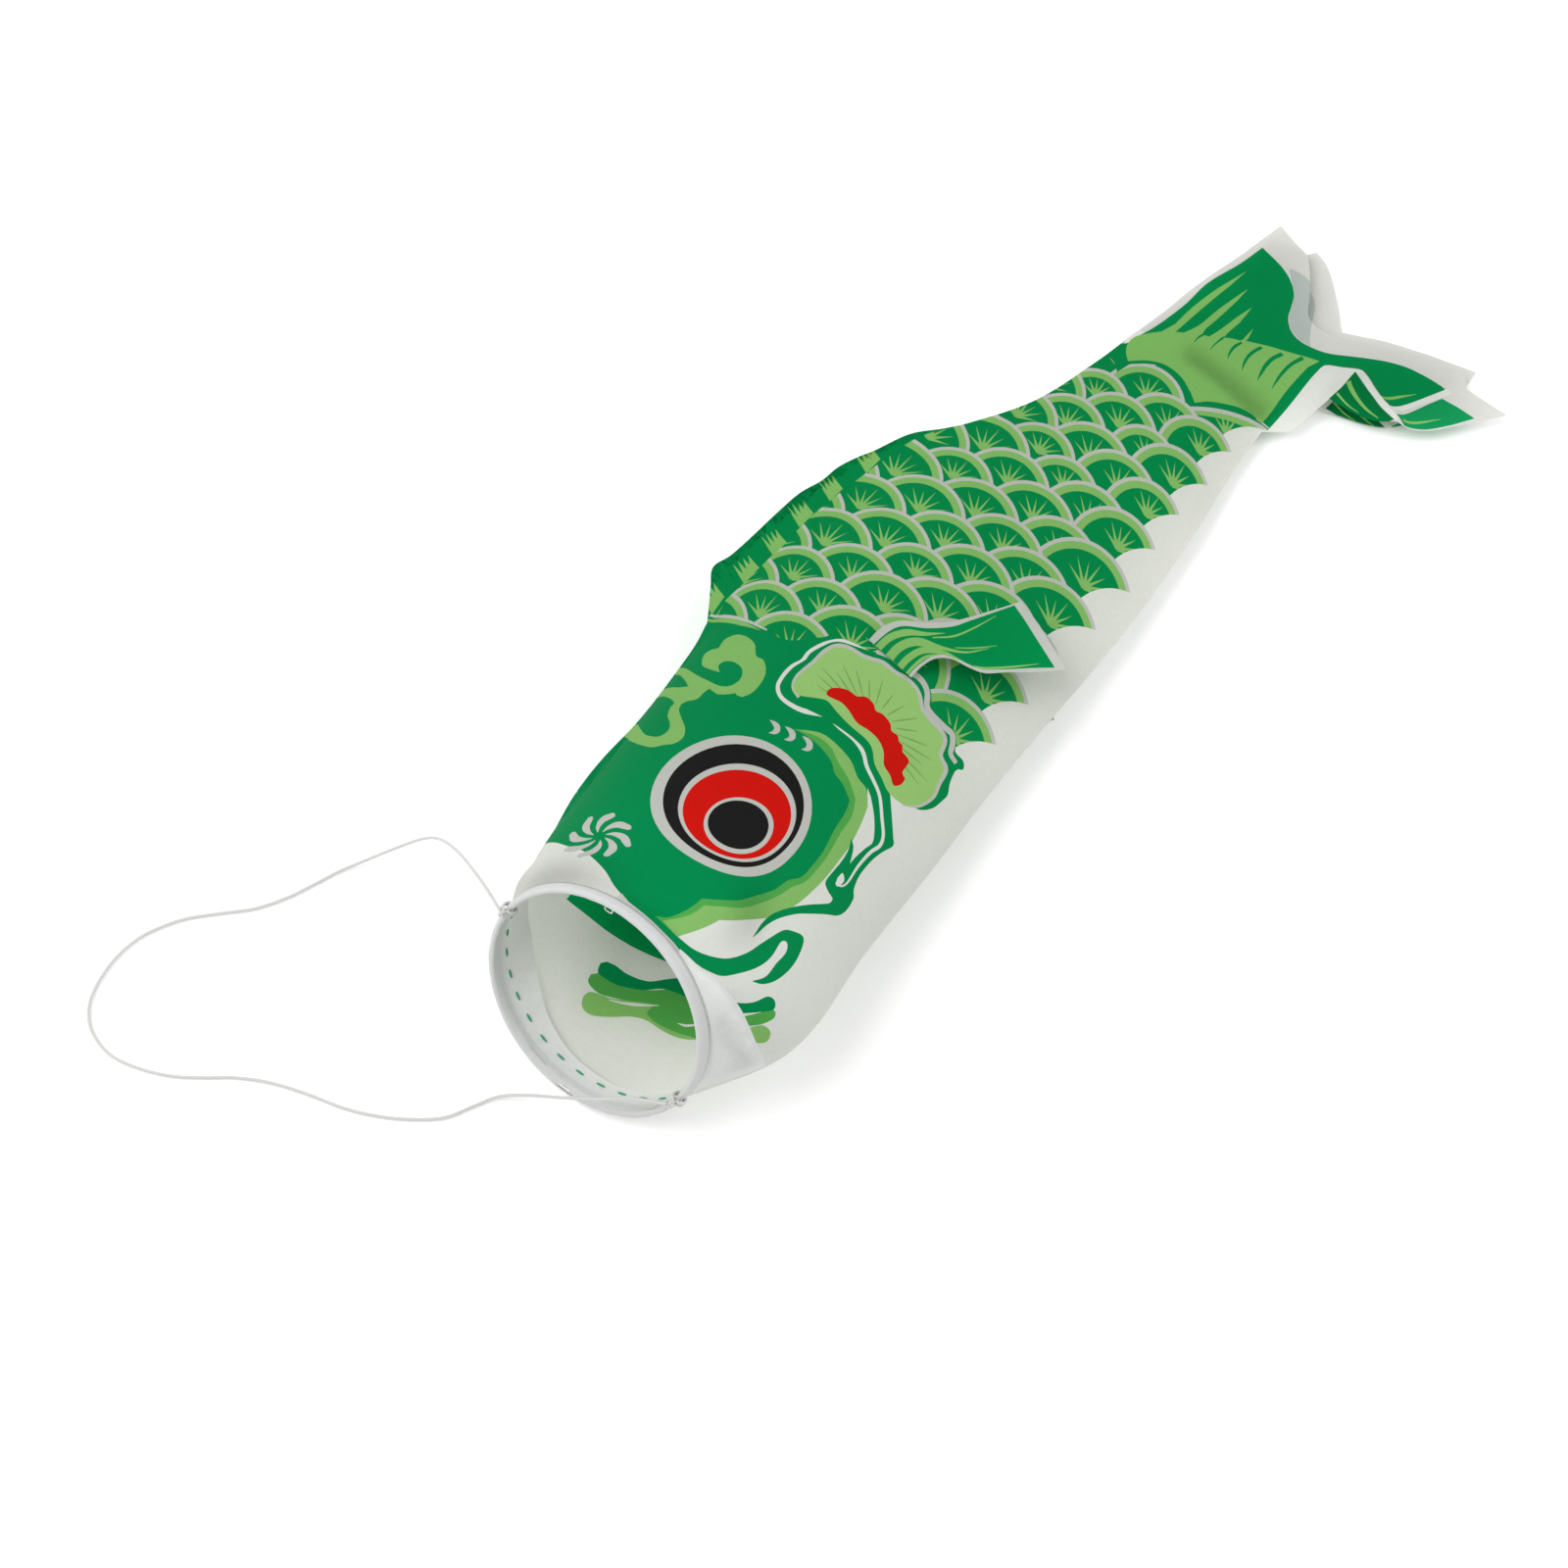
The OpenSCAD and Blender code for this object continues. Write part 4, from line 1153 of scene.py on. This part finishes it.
def mouth_facing():
    """The hem's inner layer: its free edge is widest at the nose and stands off the wall in soft puckers."""
    turned = np.radians(ROUND_ANGLES)
    nose_side = np.exp(-(((ROUND_ANGLES - 118) / 42) ** 2))
    pucker = 0.5 + 0.5 * np.sin(11 * turned + 0.6) * np.sin(4 * turned)
    rows = [RIM + BACKWARDS * along - OUTWARDS * 1.6 for along in (0.2, 1.4, 2.6)]
    for share in np.linspace(0, 1, 12):
        depth = FACING_START + (6.5 + 12 * nose_side + 0.6 * np.sin(3 * turned)) * share
        lift = 1.2 + share**2 * (0.3 + 1.2 * pucker + 1.6 * nose_side)
        rows.append(mouth_ring(depth, 0.4) - OUTWARDS * lift[:, None])
    facing = grid_mesh("facing_cloth", rows, loop_across=True)
    finish_piece(facing, WHITE_CLOTH, "fish")
    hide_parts("mouth_facing")


# The stitches round the mouth, half a stitch's length in steps of the ring, and the thread's radius
STITCHES = 30
STITCH_REACH = 1.5
THREAD_RADIUS = 0.55


def stitch(ring, at, steps=7, sides=8):
    """Rows of points round one running stitch, thin at both ends."""
    line = np.linspace(at - STITCH_REACH, at + STITCH_REACH, steps)
    everywhere = np.arange(-ROUND_STEPS, 2 * ROUND_STEPS)
    points = np.stack([np.interp(line, everywhere, np.tile(ring[:, c], 3)) for c in range(3)], -1)
    across, up = carried_frames(points)
    angle = np.arange(sides)[:, None] * 2 * math.pi / sides
    radius = THREAD_RADIUS * np.sin(math.pi * (np.arange(steps) + 0.6) / (steps + 0.2)) ** 0.5
    return [
        p + r * (np.cos(angle) * side + 0.7 * np.sin(angle) * lift)
        for p, r, side, lift in zip(points, radius, across, up)
    ]


def hem_stitches():
    """Green running stitches through the facing, as one mesh."""
    ring = mouth_ring(STITCH_DEPTH, 0.4) - OUTWARDS * 1.9
    blocks = [np.array(stitch(ring, (k + 0.5) * ROUND_STEPS / STITCHES)) for k in range(STITCHES)]
    faces = []
    for k, block in enumerate(blocks):
        faces += grid_faces(*block.shape[:2], True, False, True, first=k * block.shape[0] * block.shape[1])
    stitches = mesh_object("hem_thread", np.concatenate(blocks), faces)
    finish_piece(stitches, GREEN_THREAD, "fish")
    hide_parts("hem_stitches")


def bridle_knot(name, end, node):
    """Two turns of cord round the hem with a hitch in front."""
    middle = HOOP_MIDDLE + end * HOOP_RADIUS * KNOT_LINE
    radial = end * KNOT_LINE
    along_rim = np.cross(HOOP_OUT, radial)
    turns = 2.0
    reach = HEM_DIAMETER / 2 + CORD_DIAMETER / 2 - 0.2
    t = np.linspace(0, 1, 70)[:, None]
    angle = 2 * math.pi * turns * t + math.pi / 2
    shift = (t - 0.5) * CORD_DIAMETER * turns * along_rim
    winding = middle + reach * (np.cos(angle) * radial + np.sin(angle) * HOOP_OUT) + shift
    wraps = tube(name + "_turns", winding, CORD_DIAMETER / 2 * 0.92, sides=10, plies=3, lay=5.5)
    size = KNOT_DIAMETER / 2 - CORD_DIAMETER * 0.36
    t = np.arange(90)[:, None] * 2 * math.pi / 90
    x = (np.sin(t) + 2 * np.sin(2 * t)) / 3
    y = (np.cos(t) - 2 * np.cos(2 * t)) / 3
    z = -np.sin(3 * t) * 0.8
    trefoil = middle + KNOT_OUT * HOOP_OUT + size * (x * radial + y * along_rim + z * HOOP_OUT)
    hitch = tube(name + "_hitch", trefoil, CORD_DIAMETER * 0.42, sides=8, plies=3, lay=4.5, loop=True)
    for piece in (wraps, hitch):
        finish_piece(piece, CORD, "fish")
    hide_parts(node)


def rim_loop():
    """The thread that is left hanging in a loop from the rim's lower edge."""
    angle = math.radians(8)
    radial = HOOP_UP * math.cos(angle) + HOOP_BACK * math.sin(angle)
    along_rim = np.cross(HOOP_OUT, radial)
    middle = HOOP_MIDDLE + (HOOP_RADIUS - 1.6) * radial + 0.8 * HOOP_OUT
    t = np.linspace(-0.5, math.pi + 0.9, 24)[:, None]
    path = middle + 1.9 * (np.cos(t) * along_rim - np.sin(t) * radial) + 0.5 * np.cos(2 * t) * HOOP_OUT
    loop = tube("rim_loop", path, 0.28, sides=8, plies=2, lay=2.0)
    finish_piece(loop, WHITE_THREAD, "fish")
    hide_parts("rim_thread")


mouth_hem()
rim_loop()
mouth_facing()
hem_stitches()
bridle_knot("nose_tie", 1, "nose_knot")
bridle_knot("chin_tie", -1, "chin_knot")

# ---- fins

FIN_ROOT = 209.5
FIN_LENGTH = 67.0
FIN_ROOT_HEIGHT = 45.6
FAR_FIN_HEIGHT = 0.4


def fin_edge():
    """The cut edge of a pectoral fin."""
    return outline(
        [(FIN_ROOT, 62.6), (FIN_ROOT, 76), (FIN_ROOT, 89.4)],
        [(FIN_ROOT + 0.5, 89.5), (216, 89.2), (222, 87.6), (228.4, 83.2), (235, 74.6), (244, 66), (252, 61),
         (262, 55.6), (270, 51.4), (278, 47.4)],
        [(275, 34), (271, 20), (268.4, 12)],
        [(264, 14.6), (256, 21), (245, 31), (237, 38), (233.4, 45), (230.4, 54), (225, 59.6), (218, 62),
         (211, 62.6)],
    )


def fin_print():
    """White borders, light stripes from the root and fine rays."""
    layers = [("scale", outline(
        [(208, 64.4), (217, 63.6), (225.6, 61), (231.6, 55), (234.6, 46), (238, 39.6), (246, 32),
         (256, 23.6), (264.6, 16)],
        [(267.6, 26), (273.8, 48.6)],
        [(262, 54.2), (252, 59), (243, 63.6), (233.6, 72), (226.6, 81), (220, 84.6), (208, 86.6)],
    ))]
    stripes = (
        ([(207, 83.6), (217, 82.6), (225, 78), (231, 70.6), (238, 64)], [3.4, 3.6, 3.4, 1.8, 0.2]),
        ([(207, 76.4), (217, 76), (225, 71.4), (231, 61), (238, 51), (248, 44)],
         [4.4, 4.4, 4.0, 1.6, 0.9, 0.2]),
        ([(207, 69.8), (216, 69.4), (224, 66.4), (230, 58.6), (233.4, 50)], [3.2, 3.4, 3.2, 2.0, 0.3]),
        ([(207, 65.4), (215, 65), (222, 63.6), (228, 59.6)], [1.4, 1.6, 1.6, 0.4]),
        ([(232, 67), (240, 60), (250, 55.6), (263, 51.6)], [0.6, 1.0, 0.8, 0.2]),
        ([(234.6, 45), (240, 38.4), (250, 30), (260, 22.6)], [0.6, 1.1, 0.9, 0.2]),
        ([(236, 56), (243, 49), (252, 42)], [0.4, 0.8, 0.2]),
    )
    for line, widths in stripes:
        layers.append(("light", stroke(line, widths)))
    return layers


def fin_height(a):
    """Height of the left fin above the floor, from its root to its tip."""
    u = (a - FIN_ROOT) / FIN_LENGTH
    return FIN_ROOT_HEIGHT + 4 * u + 3 * np.sin(np.pi * np.clip(u, 0, 1)) + 0.9 * np.sin(2 * np.pi * u)


def left_fin_place(a, b):
    """The left fin hangs over the trunk, in line with where it would lie on it."""
    p = LEFT.trunk(a, b)
    rise = fin_height(a) + 0.8 * np.sin((b + 0.8 * a) / 5) * ease((a - FIN_ROOT) / 30) - p[:, 2]
    return p + UPWARD * (rise / UPWARD[2])[:, None]


def right_fin_place(a, b):
    """The right fin lies flat under the trunk."""
    p = left_fin_place(a, b)
    p[:, 2] = FAR_FIN_HEIGHT + 0.25 * np.sin(a / 9) * np.sin(b / 7)
    return p


def pectoral_fin(name, body, node, place):
    """A printed fin that flaps with its body."""
    edge = fin_edge()
    fin = printed_mesh(name, edge, fin_print(), place, "white", spacing=4.0)
    finish_piece(fin, PRINTED, body)
    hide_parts(node)


pectoral_fin("left_fin_cloth", "left_fin", "left_fin", left_fin_place)
pectoral_fin("right_fin_cloth", "right_fin", "right_fin", right_fin_place)

repaint("hoop", WIRE)
repaint("hoop_sleeve", SLEEVE)
repaint("left_fin_stitches", GREEN_THREAD)
repaint("right_fin_stitches", GREEN_THREAD)

# ---- stage

# Half the floor's width and its depth below the fish, in millimetres
FLOOR_REACH = 60000
FLOOR_DROP = 0.5

floor_corners = np.array([(x, y, -FLOOR_DROP) for x, y in ((-1, -1), (1, -1), (1, 1), (-1, 1))], float)
floor_corners[:, :2] *= FLOOR_REACH
floor = mesh_object("floor", floor_corners, [(0, 1, 2, 3)])
floor_material = Material("studio_floor")
floor_material.feed(floor_material.shader, {
    "Base Color": (0.93, 0.93, 0.93, 1),
    "Roughness": 0.9,
    "Emission Color": (1, 1, 1, 1),
    "Emission Strength": 0.12,
})
floor.data.materials.append(floor_material.material)

world = bpy.data.worlds.new("studio")
bpy.context.scene.world = world
world.use_nodes = True
world.node_tree.nodes["Background"].inputs["Color"].default_value = (1, 1, 1, 1)
world.node_tree.nodes["Background"].inputs["Strength"].default_value = 0.62


def soft_light(name, location, size, power):
    """A round area light that looks at the fish."""
    data = bpy.data.lights.new(name, "AREA")
    data.shape = "DISK"
    data.size = size
    data.energy = power
    light = bpy.data.objects.new(name, data)
    bpy.context.scene.collection.objects.link(light)
    aim(light, location, (-0.05, 0, 0))


soft_light("key", (-0.9, 0.9, 1.9), 1.8, 31)
soft_light("fill", (1.0, -1.1, 1.5), 1.8, 14)
bpy.context.scene.view_settings.view_transform = "Standard"
